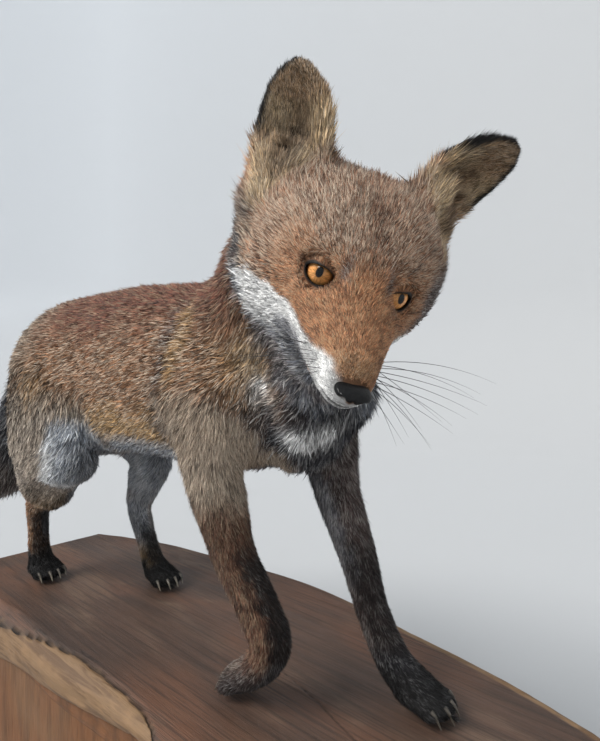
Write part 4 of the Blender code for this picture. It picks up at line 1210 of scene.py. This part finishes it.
# ---------------------------------------------------------------- eyes and lids
def eye_axes(side):
    """Centre of an eye and its gaze, inner and upper directions, in the fox's frame."""
    centre = from_head(EYE_CENTRE * (1, side, 1))
    gaze = unit(turned(EYE_LOOK * (1, side, 1)))
    inner = turned(np.array([0.45, -0.89 * side, 0.02]))
    inner = unit(inner - inner @ gaze * gaze)
    upper = np.cross(gaze, inner) * (1 if side < 0 else -1)
    return centre, gaze, inner, upper * np.sign(upper @ turned(np.array([0, 0, 1.0])))


def make_eye(name, side, face):
    """Glass eye: a ball of rings round the gaze, raised to its full radius where the cornea is."""
    centre, gaze, inner, upper = eye_axes(side)
    rings, spokes = 60, 72
    cornea = 0.0005
    polar = math.pi * (np.linspace(0, 1, rings) ** 1.25)[1:-1]
    azimuth = 2 * math.pi * np.arange(spokes) / spokes
    polar_grid, azimuth_grid = (a.ravel() for a in np.meshgrid(polar, azimuth, indexing="ij"))
    polar_all = np.concatenate([[0.0], polar_grid, [math.pi]])
    azimuth_all = np.concatenate([[0.0], azimuth_grid, [0.0]])
    reach = face.eye_radius - cornea * (1 - bell(polar_all, 0, 0.62))
    flat = np.sin(polar_all)
    u, v = flat * np.cos(azimuth_all), flat * np.sin(azimuth_all)
    points = centre + reach[:, None] * (np.cos(polar_all)[:, None] * gaze + u[:, None] * inner
                                        + v[:, None] * upper)
    last = len(polar_all) - 1
    ring = 1 + grid_faces(rings - 2, spokes, closed_columns=True)
    k = 1 + np.arange(spokes)
    fan = np.stack([np.zeros(spokes, int), k, 1 + k % spokes], 1)
    tail = last - spokes + np.arange(spokes)
    foot = np.stack([np.full(spokes, last), last - spokes + (np.arange(spokes) + 1) % spokes, tail], 1)
    faces = np.vstack([triangles_of(ring), fan, foot])
    faces = facing_out(points, faces, centre)
    slit = np.hypot(u / 0.230, (v - 0.14) / 0.33)
    # The shade field darkens the iris: at its top a painted shadow of the upper lid, round the pupil a
    # darker ring of the iris itself.
    fields = {"pupil": step(1.08, 0.92, slit), "iris_edge": step(0.66, 0.85, flat) * 0.85,
              "outside": np.maximum(step(0.845, 0.870, flat), polar_all > 1.6),
              "shade": 0.60 * step(0.16, 0.52, v) + 0.35 * step(0.45, 0.20, np.hypot(u, v - 0.14)),
              "spoke": np.stack([2.2 * np.cos(azimuth_all), 2.2 * np.sin(azimuth_all), 0.9 * flat], 1)}
    return new_piece(name, points, faces, fields=fields)


def facing_out(points, faces, centre):
    """Turn a closed shell's faces round if, on the whole, they face its centre."""
    a, b, c = (points[faces[:, k]] for k in range(3))
    volume = (np.cross(b - a, c - a) * (a - centre)).sum()
    return faces if volume > 0 else faces[:, ::-1]


def skin_heights(skin, centre, gaze, inner, upper, u, v):
    """Height of the skin above an eye's own plane at places (u, v): a mean weighted by nearness."""
    rel = skin.points - centre
    close = (np.linalg.norm(rel, axis=1) < 0.026) & (skin.normals @ gaze > 0.1)
    rel = rel[close]
    across = (rel @ inner)[None] - u[:, None], (rel @ upper)[None] - v[:, None]
    weight = np.exp(-(across[0] ** 2 + across[1] ** 2) / 0.0016 ** 2) + 1e-12
    return (weight * (rel @ gaze)[None]).sum(1) / weight.sum(1)


def make_lids(name, side, face, skin, shades):
    """Lids: a ring from the almond-shaped opening on the ball out to the face.

    The opening's radius is that of an ellipse, drawn out at the inner corner; going outwards the
    height follows a ball a little larger than the eye, then blends smoothly into the skin.
    """
    centre, gaze, inner, upper = eye_axes(side)
    spokes, rows = 96, 16
    turn = 2 * math.pi * np.arange(spokes) / spokes
    wrap = (turn + math.pi) % (2 * math.pi) - math.pi
    half_wide, outer, spot_width = 0.0085, 0.0178, 0.036
    tall = 0.0063 - 0.0013 * step(-0.3, 0.5, np.sin(turn))
    opening = 1 / np.sqrt((np.cos(turn) / half_wide) ** 2 + (np.sin(turn) / tall) ** 2)
    opening += 0.0008 * bell(wrap, -0.60, 0.24) + 0.0004 * bell(np.abs(wrap), math.pi, 0.30)
    share = np.concatenate([[0, 0], np.linspace(0.0, 1.0, rows - 2) ** 1.3])[:, None]
    radius = opening + (outer - opening) * share
    u, v = radius * np.cos(turn), radius * np.sin(turn)
    rim = skin_heights(skin, centre, gaze, inner, upper, outer * np.cos(turn), outer * np.sin(turn))
    lift = np.full((rows, 1), 0.0013)
    lift[0], lift[1] = -0.0006, 0.0006
    edge = np.sqrt(np.maximum((face.eye_radius + lift) ** 2 - opening ** 2, 0.0040 ** 2))
    blend = step(-0.15, 1.0, share) - step(-0.15, 1.0, 0.0)
    dip = 0.0014 * bell(share, 0.42, 0.20)
    fold = 0.0007 * bell(share, 0.26, 0.07) * (0.5 + 0.5 * np.sin(turn))
    height = edge + (rim - 0.0004 - edge) * blend / blend.max() - dip - fold
    flat = u[..., None] * inner + v[..., None] * upper
    points = (centre + flat + height[..., None] * gaze).reshape(-1, 3)
    faces = triangles_of(grid_faces(rows, spokes, closed_columns=True))
    normals = vertex_normals(points, faces)
    if (normals @ gaze).mean() < 0:
        faces, normals = faces[:, ::-1], -normals
    # The rim is bare and dark, widest at the duct before the inner corner.
    duct = 0.0060 * bell(wrap, -0.60, 0.34) + 0.0012 * bell(wrap, 2.6, 0.6)
    dark = step(0.0007, -0.0005, radius - opening - 0.0010 - duct).ravel()
    weights = np.zeros((len(points), len(FLESH)))
    weights[:, FLESH.index("head")] = 1.0
    coat = markings(points, normals, weights, shades)
    # Under its hair the lid plate is darker than the coat, as the skin is: darker under-hair and painted
    # shade between the tufts.
    piece = new_piece(name, points, faces, fields={"rim": dark, "coat": coat[:, :3] * 0.6})
    back = turned(np.array([-1.0, 0.15 * side, 0.1]))
    way = unit(0.75 * unit(flat.reshape(-1, 3)) + 0.65 * back)
    way = unit(way - (way * normals).sum(1, keepdims=True) * normals)
    spots = np.stack([u.ravel(), v.ravel()], 1) / spot_width + 0.5
    bare = np.clip(1.3 * dark + np.tile(1.2 * bell(wrap, -0.55, 0.36), rows), 0, 1)
    surface = {"triangles": faces, "points": points, "normals": normals, "way": way, "uv": spots,
               "weights": weights, "density": 1 - bare, "depth": np.full(len(points), 0.0012)}
    return piece, surface


def lid_hair(root, up, weights, depth):
    """Very short hair on the lids."""
    count = len(root)
    return np.full(count, 0.0036), np.full(count, 0.00060), np.full(count, 0.0014)


# ---------------------------------------------------------------- nose, whiskers, claws
def make_nose(name):
    """Nose pad: a rounded block, dented by two nostrils with slits and by a groove in front.

    Longitude a runs round the upright axis from the front, latitude b up from the middle;
    each coordinate is a half size times cosines and sines raised to a power below 1.
    """
    rows, columns = 61, 121
    lat = math.pi * (np.arange(rows) / (rows - 1) - 0.5)
    lon = 2 * math.pi * np.arange(columns) / columns - math.pi
    b, a = (g.ravel() for g in np.meshgrid(lat, lon, indexing="ij"))

    def power(value, exponent=0.85):
        return np.sign(value) * np.abs(value) ** exponent

    x = power(np.cos(b)) * power(np.cos(a))
    y = power(np.cos(b)) * power(np.sin(a))
    z = power(np.sin(b), 0.80)
    across = np.abs(a)
    dent = 0.0034 * bell(across, 0.62, 0.20) * bell(b, -0.12, 0.26)
    dent += 0.0022 * bell(across, 1.02, 0.24) * bell(b, -0.40 + 0.25 * (across - 0.8), 0.13)
    dent += 0.0010 * bell(a, 0.0, 0.07) * step(0.5, -0.1, b)
    dent += 0.0006 * bell(a, 0.0, 0.30) * bell(b, 0.75, 0.35)
    swell = 0.0006 * bell(across, 0.62, 0.45) * bell(b, 0.22, 0.22)
    size = 1 - (dent - swell) / 0.0100
    narrow = 1 - 0.12 * step(0.0, -1.0, z)
    h = np.stack([-0.0050 + 0.0080 * x * size, 0.0016 + 0.0106 * y * size * narrow,
                  -0.0027 + 0.0044 * z * size], 1)
    h[:, 0] -= 0.0016 * step(0.2, -1.0, z)
    points = from_head(h)
    faces = triangles_of(grid_faces(rows, columns, closed_columns=True))
    return new_piece(name, points, facing_out(points, faces, points.mean(0)))


def tapering_tubes(paths, radii, sides):
    """Round tubes on many paths at once: at each point a ring of a radius square to the path.

    paths is (tubes, points, 3) and radii (tubes, points); both ends are closed by a fan.
    """
    count, steps, _ = paths.shape
    tangent = unit(np.gradient(paths, axis=1))
    across = unit(np.cross(tangent, np.array([0.12, 0.31, 0.94])))
    other = np.cross(tangent, across)
    turn = 2 * math.pi * np.arange(sides) / sides
    ring = (across[:, :, None] * np.cos(turn)[:, None] + other[:, :, None] * np.sin(turn)[:, None])
    points = paths[:, :, None] + ring * radii[:, :, None, None]
    ends = np.stack([paths[:, 0], paths[:, -1]], 1)
    block = steps * sides + 2
    points = np.concatenate([points.reshape(count, -1, 3), ends], 1)
    side = triangles_of(grid_faces(steps, sides, closed_columns=True))[:, ::-1]
    k = np.arange(sides)
    first = np.stack([np.full(sides, block - 2), k, (k + 1) % sides], 1)[:, ::-1]
    last = np.stack([np.full(sides, block - 1), (steps - 1) * sides + (k + 1) % sides,
                     (steps - 1) * sides + k], 1)[:, ::-1]
    one = np.vstack([side, first, last])
    faces = (np.arange(count)[:, None, None] * block + one).reshape(-1, 3)
    share = np.concatenate([np.repeat(np.linspace(0, 1, steps), sides), [0.0, 1.0]])
    return points.reshape(-1, 3), faces, np.tile(share, count)


def whisker_paths(rng):
    """Paths of the whiskers: roots in four rows on the upper lips, fanned out, tips drooping."""
    paths = []
    for side, aim, spread_of in ((-1, (-0.25, -0.85, -0.50), 0.22), (1, (-0.05, 0.95, -0.28), 0.42)):
        for row in range(4):
            for place in range(4 if row < 3 else 3):
                x = -0.018 - 0.0062 * place - 0.002 * row
                z = -0.0020 - 0.0030 * row
                y = side * (np.interp(-x, (0.018, 0.036, 0.054), (0.0150, 0.0200, 0.0255)) - 0.0022)
                fan = spread_of * ((row - 1.5) / 1.5)
                way = unit(np.array(aim) + np.array([-0.10 * place + 0.05, 0.0, -fan])
                           + 0.09 * rng.standard_normal(3))
                size = (0.036 + 0.007 * place) * rng.uniform(0.85, 1.2) * (1.55 if side > 0 else 1.15)
                t = np.linspace(0, 1, 14)[:, None]
                sag = rng.uniform(0.10, 0.26)
                back = np.array([-1.0, 0, 0]) * rng.uniform(0.0, 0.22)
                path = from_head(np.array([x, y, z]) + size * (way * t + back * t ** 2))
                path[:, 2] -= (size * sag * t ** 2)[:, 0]
                paths.append(path)
        for place in range(2):
            way = unit(np.array([-0.2, 0.55 * side, 0.8]) + 0.1 * rng.standard_normal(3))
            t = np.linspace(0, 1, 14)[:, None]
            root = np.array([-0.078 + 0.006 * place, side * 0.0235, 0.0385])
            paths.append(from_head(root + 0.022 * (way * t - np.array([0.5, 0, 0]) * t ** 2)))
    return np.array(paths)


def claw_paths():
    """Middle lines and radii of the sixteen claws: short arcs that bend down ahead of the toes."""
    paths = []
    for tip, degrees in PAWS.values():
        turn = math.radians(degrees)
        ahead = np.array([math.cos(turn), math.sin(turn), 0.0])
        aside = np.array([-ahead[1], ahead[0], 0.0])
        for place in (-1.5, -0.5, 0.5, 1.5):
            back = 0.006 if abs(place) > 1 else 0.0
            root = np.array(tip) + aside * place * TOE_SPREAD * 1.04 - ahead * (back + TOE_RADIUS * 0.75)
            t = np.linspace(0, 1, 12)[:, None]
            lift = 0.0044 - 0.0042 * t - 0.0062 * t ** 2
            paths.append(root + ahead * CLAW_LENGTH * t + lift * np.array([0, 0, 1.0]))
    t = np.linspace(0, 1, 12)
    radii = CLAW_RADIUS * (1 - t ** 1.6) ** 0.8 + 0.00015
    return np.array(paths), np.tile(radii, (len(paths), 1))


# ---------------------------------------------------------------- the wooden base
# Everything is measured from the slab's top; the crack and the split are seen from above.
SLAB_THICKNESS = 0.050
SLAB_MIDDLE = 0.025
SLAB_HALF = 0.410
OVERHANG = 0.0090
RIM_DEEPEST = 0.0470
RIM_END = 0.070
CRACK = ((-0.42, -0.1330), (-0.300, -0.1290), (-0.194, -0.1233), (-0.1245, -0.1160),
         (-0.0457, -0.1057), (0.040, -0.1015), (0.0816, -0.1049), (0.1185, -0.1156), (0.150, -0.1300))
SPLIT = ((0.1250, 0.0085), (0.1395, 0.0058), (0.1824, -0.0041), (0.2257, -0.0181),
         (0.2900, -0.0330))


def far_edge(x):
    """The live edge on the fox's left bows in towards both ends."""
    return 0.172 - 0.50 * x * x + 0.003 * np.sin(21 * x + 1.0)


def near_edge(x):
    """The live edge on its right wanders gently."""
    return -0.1215 + 0.028 * x + 0.0030 * np.sin(9.5 * x + 0.6) + 0.0016 * np.sin(31 * x)


def rim_depth(x):
    """How far down the pale rim reaches: it slopes up towards the front, then stays thin."""
    slope = 0.0265 - 0.125 * x + 0.0030 * np.sin(17 * x + 1.0)
    return np.where(x > RIM_END, 0.0183 - 0.015 * (x - RIM_END), np.minimum(slope, RIM_DEEPEST))


def make_slab():
    """The slab: a closed profile carried along X.

    The profile runs from the middle of the underside round the far edge, over the top and down
    the near edge; each of its corners is a function of x, and a Catmull-Rom curve rounds it.
    """
    columns = 320
    x = SLAB_MIDDLE + SLAB_HALF * np.linspace(-1, 1, columns)
    near, far, deep = near_edge(x), far_edge(x), rim_depth(x)
    zero = np.zeros_like(x)
    far_rows = [(0.0060, -SLAB_THICKNESS), (0.0060, -0.0450), (0.0040, -0.0400), (0.0020, -0.0320),
                (0.0008, -0.0220), (0.0, -0.0110), (0.0012, -0.0035), (0.0050, 0.0)]
    near_rows = [(0.0190, zero), (0.0100, -0.12 * deep), (0.0030, -0.34 * deep), (zero, -0.66 * deep),
                 (0.0024, -deep), (0.0078, -deep - 0.0006), (OVERHANG, -deep - 0.0020),
                 (OVERHANG, np.minimum(-deep - 0.0030, -0.0450)), (OVERHANG, zero - SLAB_THICKNESS)]
    ring = [(far - inset, zero + z) for inset, z in far_rows]
    top = [(far - 0.0050 + (near + 0.0190 - far + 0.0050) * s, zero)
           for s in np.linspace(0, 1, 40)[1:-1]]
    ring += top + [(near + inset, z) for inset, z in near_rows]
    y = np.array([row[0] + zero for row in ring])
    z = np.array([row[1] + zero for row in ring])
    y, z = (resample(v, 4) for v in (y, z))
    rows = len(y)
    x = np.repeat(x[None], rows, 0)
    flat = np.stack([x, y, z], 2).reshape(-1, 3)
    normal_y = np.gradient(z, axis=0)
    normal_z = -np.gradient(y, axis=0)
    size = np.maximum(np.hypot(normal_y, normal_z), 1e-9)
    normal_y, normal_z = -normal_y / size, normal_z / size
    px, py = flat[:, 0], flat[:, 1]
    line = px[:, None] * (1, 0, 0)
    crack_y = np.interp(px, *zip(*CRACK)) + 0.0007 * noise(line, 0.030, 5)
    on_top = (flat[:, 2] > -0.5 * np.interp(px, x[0], deep)) & (py < 0.0)
    # Crack and split get shallow grooves below, and the finish paints them near-black: painted shade deep in
    # the gaps.
    crack = bell(py, crack_y, 0.0010) * on_top * step(0.165, 0.135, px)
    split_y = np.interp(px, *zip(*SPLIT)) + 0.0006 * noise(line, 0.006, 6)
    split = 0.8 * bell(py, split_y, 0.0007) * step(0.118, 0.135, px) * step(0.30, 0.26, px)
    split = split * (flat[:, 2] > -0.002)
    rim = step(crack_y + 0.002, crack_y - 0.002, py + 0.0015 * noise(flat, 0.006, 7)) * (py < 0)
    inside = np.interp(px, x[0], far) - 0.0085 - py
    rim = np.maximum(rim, step(0.004, 0.0, inside) * step(0.05, 0.16, px))
    rim = np.maximum(rim, 0.85 * ((flat[:, 2] < -0.004) & (py > 0)))
    block = (flat[:, 2] < -np.interp(px, x[0], deep) - 0.0009) & (py < 0)
    flakes = 0.45 * noise(flat * (0.10, 1, 1), 0.0024, 8) + 0.35 * noise(flat * (0.40, 1, 1), 0.0014, 9)
    bark = step(0.40, 1.00, 0.7 * bell(py, crack_y + 0.0050, 0.0030) + flakes - 0.15)
    bark = 0.75 * bark * step(0.030, -0.010, px) * (py < 0)
    # Grain on the top, lumps on the live edge, and grooves where bark, crack and split are.
    push = 0.00022 * noise(flat * (1, 14, 14), 0.090, 21) + 0.00030 * noise(flat * (1, 5, 5), 0.050, 22)
    push += rim * (0.0010 * noise(flat * (0.5, 1, 2.2), 0.010, 23)
                   + 0.0005 * noise(flat * (0.6, 1, 2.5), 0.004, 24))
    push -= 0.0004 * bark + 0.0048 * crack + 0.0012 * split
    ends = step(0.0, 0.004, SLAB_HALF - np.abs(px - SLAB_MIDDLE))
    keep = (np.abs(flat[:, 2] + SLAB_THICKNESS) > 0.003) * (0.15 + 0.85 * ends)
    push = np.minimum(push * keep, 0.0016)
    points = flat.copy()
    points[:, 1] += push * normal_y.ravel()
    points[:, 2] += push * normal_z.ravel()
    faces = triangles_of(grid_faces(rows, columns, closed_rows=True))
    # The sawn ends: a fan of rings shrinking to the middle of each end.
    fields = {"rim": rim, "block": block.astype(float), "bark": bark,
              "crack": np.clip(1.2 * crack + split, 0, 1)}
    end_tint, rings = 0.35, 14
    for column in (0, columns - 1):
        border = np.arange(rows) * columns + column
        middle = points[border].mean(0)
        middle[2] = -0.02
        shares = np.linspace(0, 1, rings + 1)[1:-1]
        inner = np.vstack([points[border] + (middle - points[border]) * s for s in shares])
        start = len(points)
        points = np.vstack([points, inner, middle[None]])
        index = np.vstack([border[None], start + np.arange(len(inner)).reshape(rings - 1, rows)])
        cells = index.ravel()[triangles_of(grid_faces(rings, rows, closed_columns=True))]
        hub = len(points) - 1
        k = index[-1]
        fan = np.stack([k, np.roll(k, -1), np.full(rows, hub)], 1)
        faces = np.vstack([faces, cells, fan])
        for key in fields:
            extra = np.full(len(inner) + 1, end_tint if key == "rim" else 0.0)
            fields[key] = np.concatenate([fields[key], extra])
    return points, faces, fields


def oriented(name, points, faces, fields, material, replaced=()):
    """A closed piece whose faces are turned outwards together by the mesh tools."""
    piece = new_piece(name, points, faces, fields=fields)
    work = bmesh.new()
    work.from_mesh(piece.data)
    bmesh.ops.recalc_face_normals(work, faces=work.faces)
    work.to_mesh(piece.data)
    work.free()
    finish_piece(piece, material, replaced)
    return piece


# ---------------------------------------------------------------- operators
STATE = {}


class FOX_OT_skin(bpy.types.Operator):
    """Weld the solids of flesh into one skin under the coat"""
    bl_idname = "fox.skin"
    bl_label = "Skin"

    def execute(self, context):
        coat = context.scene.fox_coat
        skin = STATE["skin"] = build_skin(coat.voxel)
        STATE["shades"] = palette(coat)
        tints = markings(skin.points, skin.normals, skin.weights, STATE["shades"])[:, :3]
        # The skin is darker than the coat: partly the darker under-hair, partly painted shade in the gaps
        # between the tufts.
        under = tints * (0.24 + 0.5 * tints.mean(1, keepdims=True))
        piece = new_piece("fox_skin", skin.points, skin.quads, fields={"coat": under},
                          uv=np.stack([skin.turn, skin.share], 1))
        finish_piece(piece, skin_finish(), FLESH)
        return {"FINISHED"}


class FOX_OT_coat(bpy.types.Operator):
    """Cover the skin with tapering tufts"""
    bl_idname = "fox.coat"
    bl_label = "Coat"

    def execute(self, context):
        coat = context.scene.fox_coat
        skin = STATE["skin"]
        material = STATE["coat_material"] = coat_finish()
        share = coat.density * 1.0
        for index, (name, mask, count, kind) in enumerate(coat_pieces(skin)):
            rng = np.random.default_rng(100 + index)
            tufts(name, coat_surface(skin, mask), int(count * share), kind, hair_shape,
                  STATE["shades"], rng, coat.wildness, material)
        # Longer hair stands along the inner edge and at the root of each ear's hollow.
        for index, name in enumerate(EARS):
            place, across, _, _, aside = ear_places(skin.points, name)
            mouth = ear_mouth(skin.points, skin.normals, name)
            inner = -across * np.sign(EARS[name][0][1]) * np.sign(aside @ HEAD_AXES[1])
            surface = coat_surface(skin, mouth > 0.05)
            along_edge = step(0.25, 0.75, inner / ear_half(place)) * step(0.85, 0.6, place)
            surface["density"] = mouth * np.maximum(along_edge, step(0.22, 0.02, place))
            rng = np.random.default_rng(200 + index)
            tufts(name + "_fringe", surface, int(3600 * share), "blade", ear_fringe,
                  STATE["shades"], rng, 0.7, material)
        return {"FINISHED"}


class FOX_OT_eyes(bpy.types.Operator):
    """Set the glass eyes and their lids"""
    bl_idname = "fox.eyes"
    bl_label = "Eyes"

    def execute(self, context):
        face = context.scene.fox_face
        glass, lids = eye_finish(face), lid_finish(face)
        for side, name in ((-1, "right"), (1, "left")):
            eye = make_eye("glass_eye_" + name, side, face)
            finish_piece(eye, glass, ["eye_" + name])
            piece, surface = make_lids("lids_" + name, side, face, STATE["skin"], STATE["shades"])
            finish_piece(piece, lids)
            rng = np.random.default_rng(300 + side)
            tufts("lid_hair_" + name, surface, 7000, "spike", lid_hair, STATE["shades"], rng, 0.6,
                  STATE["coat_material"])
        return {"FINISHED"}


class FOX_OT_nose(bpy.types.Operator):
    """Make the nose pad and the whiskers"""
    bl_idname = "fox.nose"
    bl_label = "Nose and whiskers"

    def execute(self, context):
        face = context.scene.fox_face
        finish_piece(make_nose("nose_pad"), leather_finish(face), ["nose"])
        paths = whisker_paths(np.random.default_rng(7))
        taper = (1 - np.linspace(0, 1, paths.shape[1]) ** 1.3) * 0.86 + 0.14
        points, faces, _ = tapering_tubes(paths, np.tile(taper * face.whisker_width / 2, (len(paths), 1)), 5)
        whiskers = new_piece("whiskers", points, faces)
        finish_piece(whiskers, whisker_finish(face))
        return {"FINISHED"}


class FOX_OT_claws(bpy.types.Operator):
    """Make the sixteen claws"""
    bl_idname = "fox.claws"
    bl_label = "Claws"

    def execute(self, context):
        points, faces, along = tapering_tubes(*claw_paths(), 10)
        pale = along * (1 - 0.95 * step(0.0, 0.1, points[:, 0]))
        claws = new_piece("claws", points, faces, fields={"along": pale})
        finish_piece(claws, claw_finish(context.scene.fox_face))
        return {"FINISHED"}


class FOX_OT_base(bpy.types.Operator):
    """Make the slab and finish the block under it"""
    bl_idname = "fox.base"
    bl_label = "Wooden base"

    def execute(self, context):
        wood = context.scene.fox_wood
        points, faces, fields = make_slab()
        oriented("live_edge_slab", points, faces, fields, slab_finish(wood), ["base_slab"])
        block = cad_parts["base_plinth"]
        block.data.materials.clear()
        block.data.materials.append(block_finish(wood))
        return {"FINISHED"}


class FOX_OT_stage(bpy.types.Operator):
    """Set the floor, the lamps and the camera"""
    bl_idname = "fox.stage"
    bl_label = "Stage"

    def execute(self, context):
        settings = context.scene.fox_stage
        add_floor(settings)
        add_lamps(settings)
        add_camera(settings)
        return {"FINISHED"}


# ---------------------------------------------------------------- stage
# In the scene's frame.  The view is turned from forward and shifted by a share of its height.
KEY_PLACE = (-0.60, -1.20, 1.25)
FILL_PLACE = (1.6, -0.5, 0.8)
SPARK_PLACE = (0.5564, -1.0026, 1.0644)
SPARK_AIM = (0.2614, -0.0994, 0.3314)
CAMERA_PLACE = (0.419, -0.343, 0.440)
CAMERA_TURN = 41.4732
CAMERA_SHIFT = 0.00877193
FLAT_RADIUS = 2.6


def add_floor(settings):
    """A pale dish: flat to 2.6 m, then curving up into a wall; a profile turned round Z."""
    rings, columns, curve = 14, 96, 1.2
    bend = np.linspace(0, math.pi / 2, 20)[1:]
    wall = FLAT_RADIUS + curve
    radius = np.concatenate([np.linspace(0.0, FLAT_RADIUS, rings), FLAT_RADIUS + curve * np.sin(bend),
                             [wall, wall]])
    height = np.concatenate([np.zeros(rings), curve * (1 - np.cos(bend)), [2.6, 4.4]])
    turn = 2 * math.pi * np.arange(columns) / columns
    x, y, z = np.broadcast_arrays(radius[:, None] * np.cos(turn), radius[:, None] * np.sin(turn),
                                  height[:, None])
    points = np.stack([x, y, z], 2).reshape(-1, 3) - STAND
    faces = grid_faces(len(radius), columns, closed_columns=True)[:, ::-1]
    # Painted shade: the paper is darkened where the key light meets it squarely, so that floor and wall look
    # evenly lit.
    squarely = np.clip(vertex_normals(points, triangles_of(faces)) @ unit(np.array(KEY_PLACE)), 0, 1)
    floor = new_piece("floor", points, faces, fields={"grey": 1 - 1 / (1 + 1.35 * squarely)})
    finish = Finish("floor_paper", {"Roughness": 0.8})
    shade = finish.mix(finish.field("grey"), tuple(settings.floor), (0.0, 0.0, 0.0))
    finish.set("Base Color", shade)
    finish.bump(finish.noise(3.0, 4.0), 0.0001)
    floor.data.materials.append(finish.material)
    floor.visible_shadow = False


def add_lamp(name, kind, place, aim, power):
    """A lamp at a place, turned towards another."""
    lamp = bpy.data.lights.new(name, kind)
    lamp.energy = power
    obj = bpy.data.objects.new(name, lamp)
    bpy.context.scene.collection.objects.link(obj)
    obj.location = place
    obj.rotation_mode = "QUATERNION"
    obj.rotation_quaternion = (Vector(aim) - Vector(place)).to_track_quat("-Z", "Y")
    return obj


def add_lamps(settings):
    """A broad light high to the left of the camera, a weak one to the right, and an even sky.

    A small lamp behind the camera is only seen mirrored, as a spark in the eyes and on the nose.
    """
    for name, place, width, power, shade in (
            ("key_light", KEY_PLACE, 30, settings.key, (1.0, 0.985, 0.96)),
            ("fill_light", FILL_PLACE, 70, settings.fill, (0.94, 0.97, 1.0))):
        sun = add_lamp(name, "SUN", place, (0, 0, 0), power)
        sun.data.angle = math.radians(width)
        sun.data.color = shade
    spark = add_lamp("spark_light", "AREA", SPARK_PLACE, SPARK_AIM, settings.spark)
    spark.data.shape = "DISK"
    spark.data.size = 0.30
    spark.visible_diffuse = False
    world = bpy.data.worlds.new("even_sky")
    world.use_nodes = True
    background = world.node_tree.nodes["Background"]
    background.inputs["Color"].default_value = (0.90, 0.95, 1.0, 1.0)
    background.inputs["Strength"].default_value = settings.sky
    bpy.context.scene.world = world
    bpy.context.scene.view_settings.view_transform = "Standard"


def add_camera(settings):
    """A level camera close to the fox's head, ahead of it and to its right."""
    camera = bpy.data.cameras.new("camera")
    camera.sensor_fit = "VERTICAL"
    camera.sensor_height = 36.0
    camera.sensor_width = 36.0
    camera.lens = settings.lens
    camera.shift_y = CAMERA_SHIFT
    camera.clip_start = 0.01
    obj = bpy.data.objects.new("camera", camera)
    bpy.context.scene.collection.objects.link(obj)
    obj.location = CAMERA_PLACE
    obj.rotation_euler = (math.pi / 2, 0.0, math.radians(CAMERA_TURN))
    bpy.context.scene.camera = obj


# ---------------------------------------------------------------- panel and main
OPERATORS = (FOX_OT_stage, FOX_OT_skin, FOX_OT_coat, FOX_OT_eyes, FOX_OT_nose, FOX_OT_claws, FOX_OT_base)
GROUPS = {"fox_coat": CoatSettings, "fox_face": FaceSettings, "fox_wood": WoodSettings,
          "fox_stage": StageSettings}


class FOX_PT_panel(bpy.types.Panel):
    """Sidebar panel with the steps and the settings"""
    bl_idname = "FOX_PT_panel"
    bl_label = "Mounted fox"
    bl_space_type = "VIEW_3D"
    bl_region_type = "UI"
    bl_category = "Fox"

    def draw(self, context):
        for operator in OPERATORS:
            self.layout.operator(operator.bl_idname)
        for key, group in GROUPS.items():
            box = self.layout.box()
            for setting in group.__annotations__:
                box.prop(getattr(context.scene, key), setting)


def register():
    """Register the settings, operators and panel."""
    for kind in (*GROUPS.values(), *OPERATORS, FOX_PT_panel):
        bpy.utils.register_class(kind)
    for key, group in GROUPS.items():
        setattr(bpy.types.Scene, key, PointerProperty(type=group))


def unregister():
    """Take everything out again."""
    for key in GROUPS:
        delattr(bpy.types.Scene, key)
    for kind in (FOX_PT_panel, *OPERATORS[::-1], *GROUPS.values()):
        bpy.utils.unregister_class(kind)


def main():
    """Run every step in order."""
    register()
    for step_name in ("stage", "skin", "coat", "eyes", "nose", "claws", "base"):
        getattr(bpy.ops.fox, step_name)()


if __name__ == "__main__":
    main()
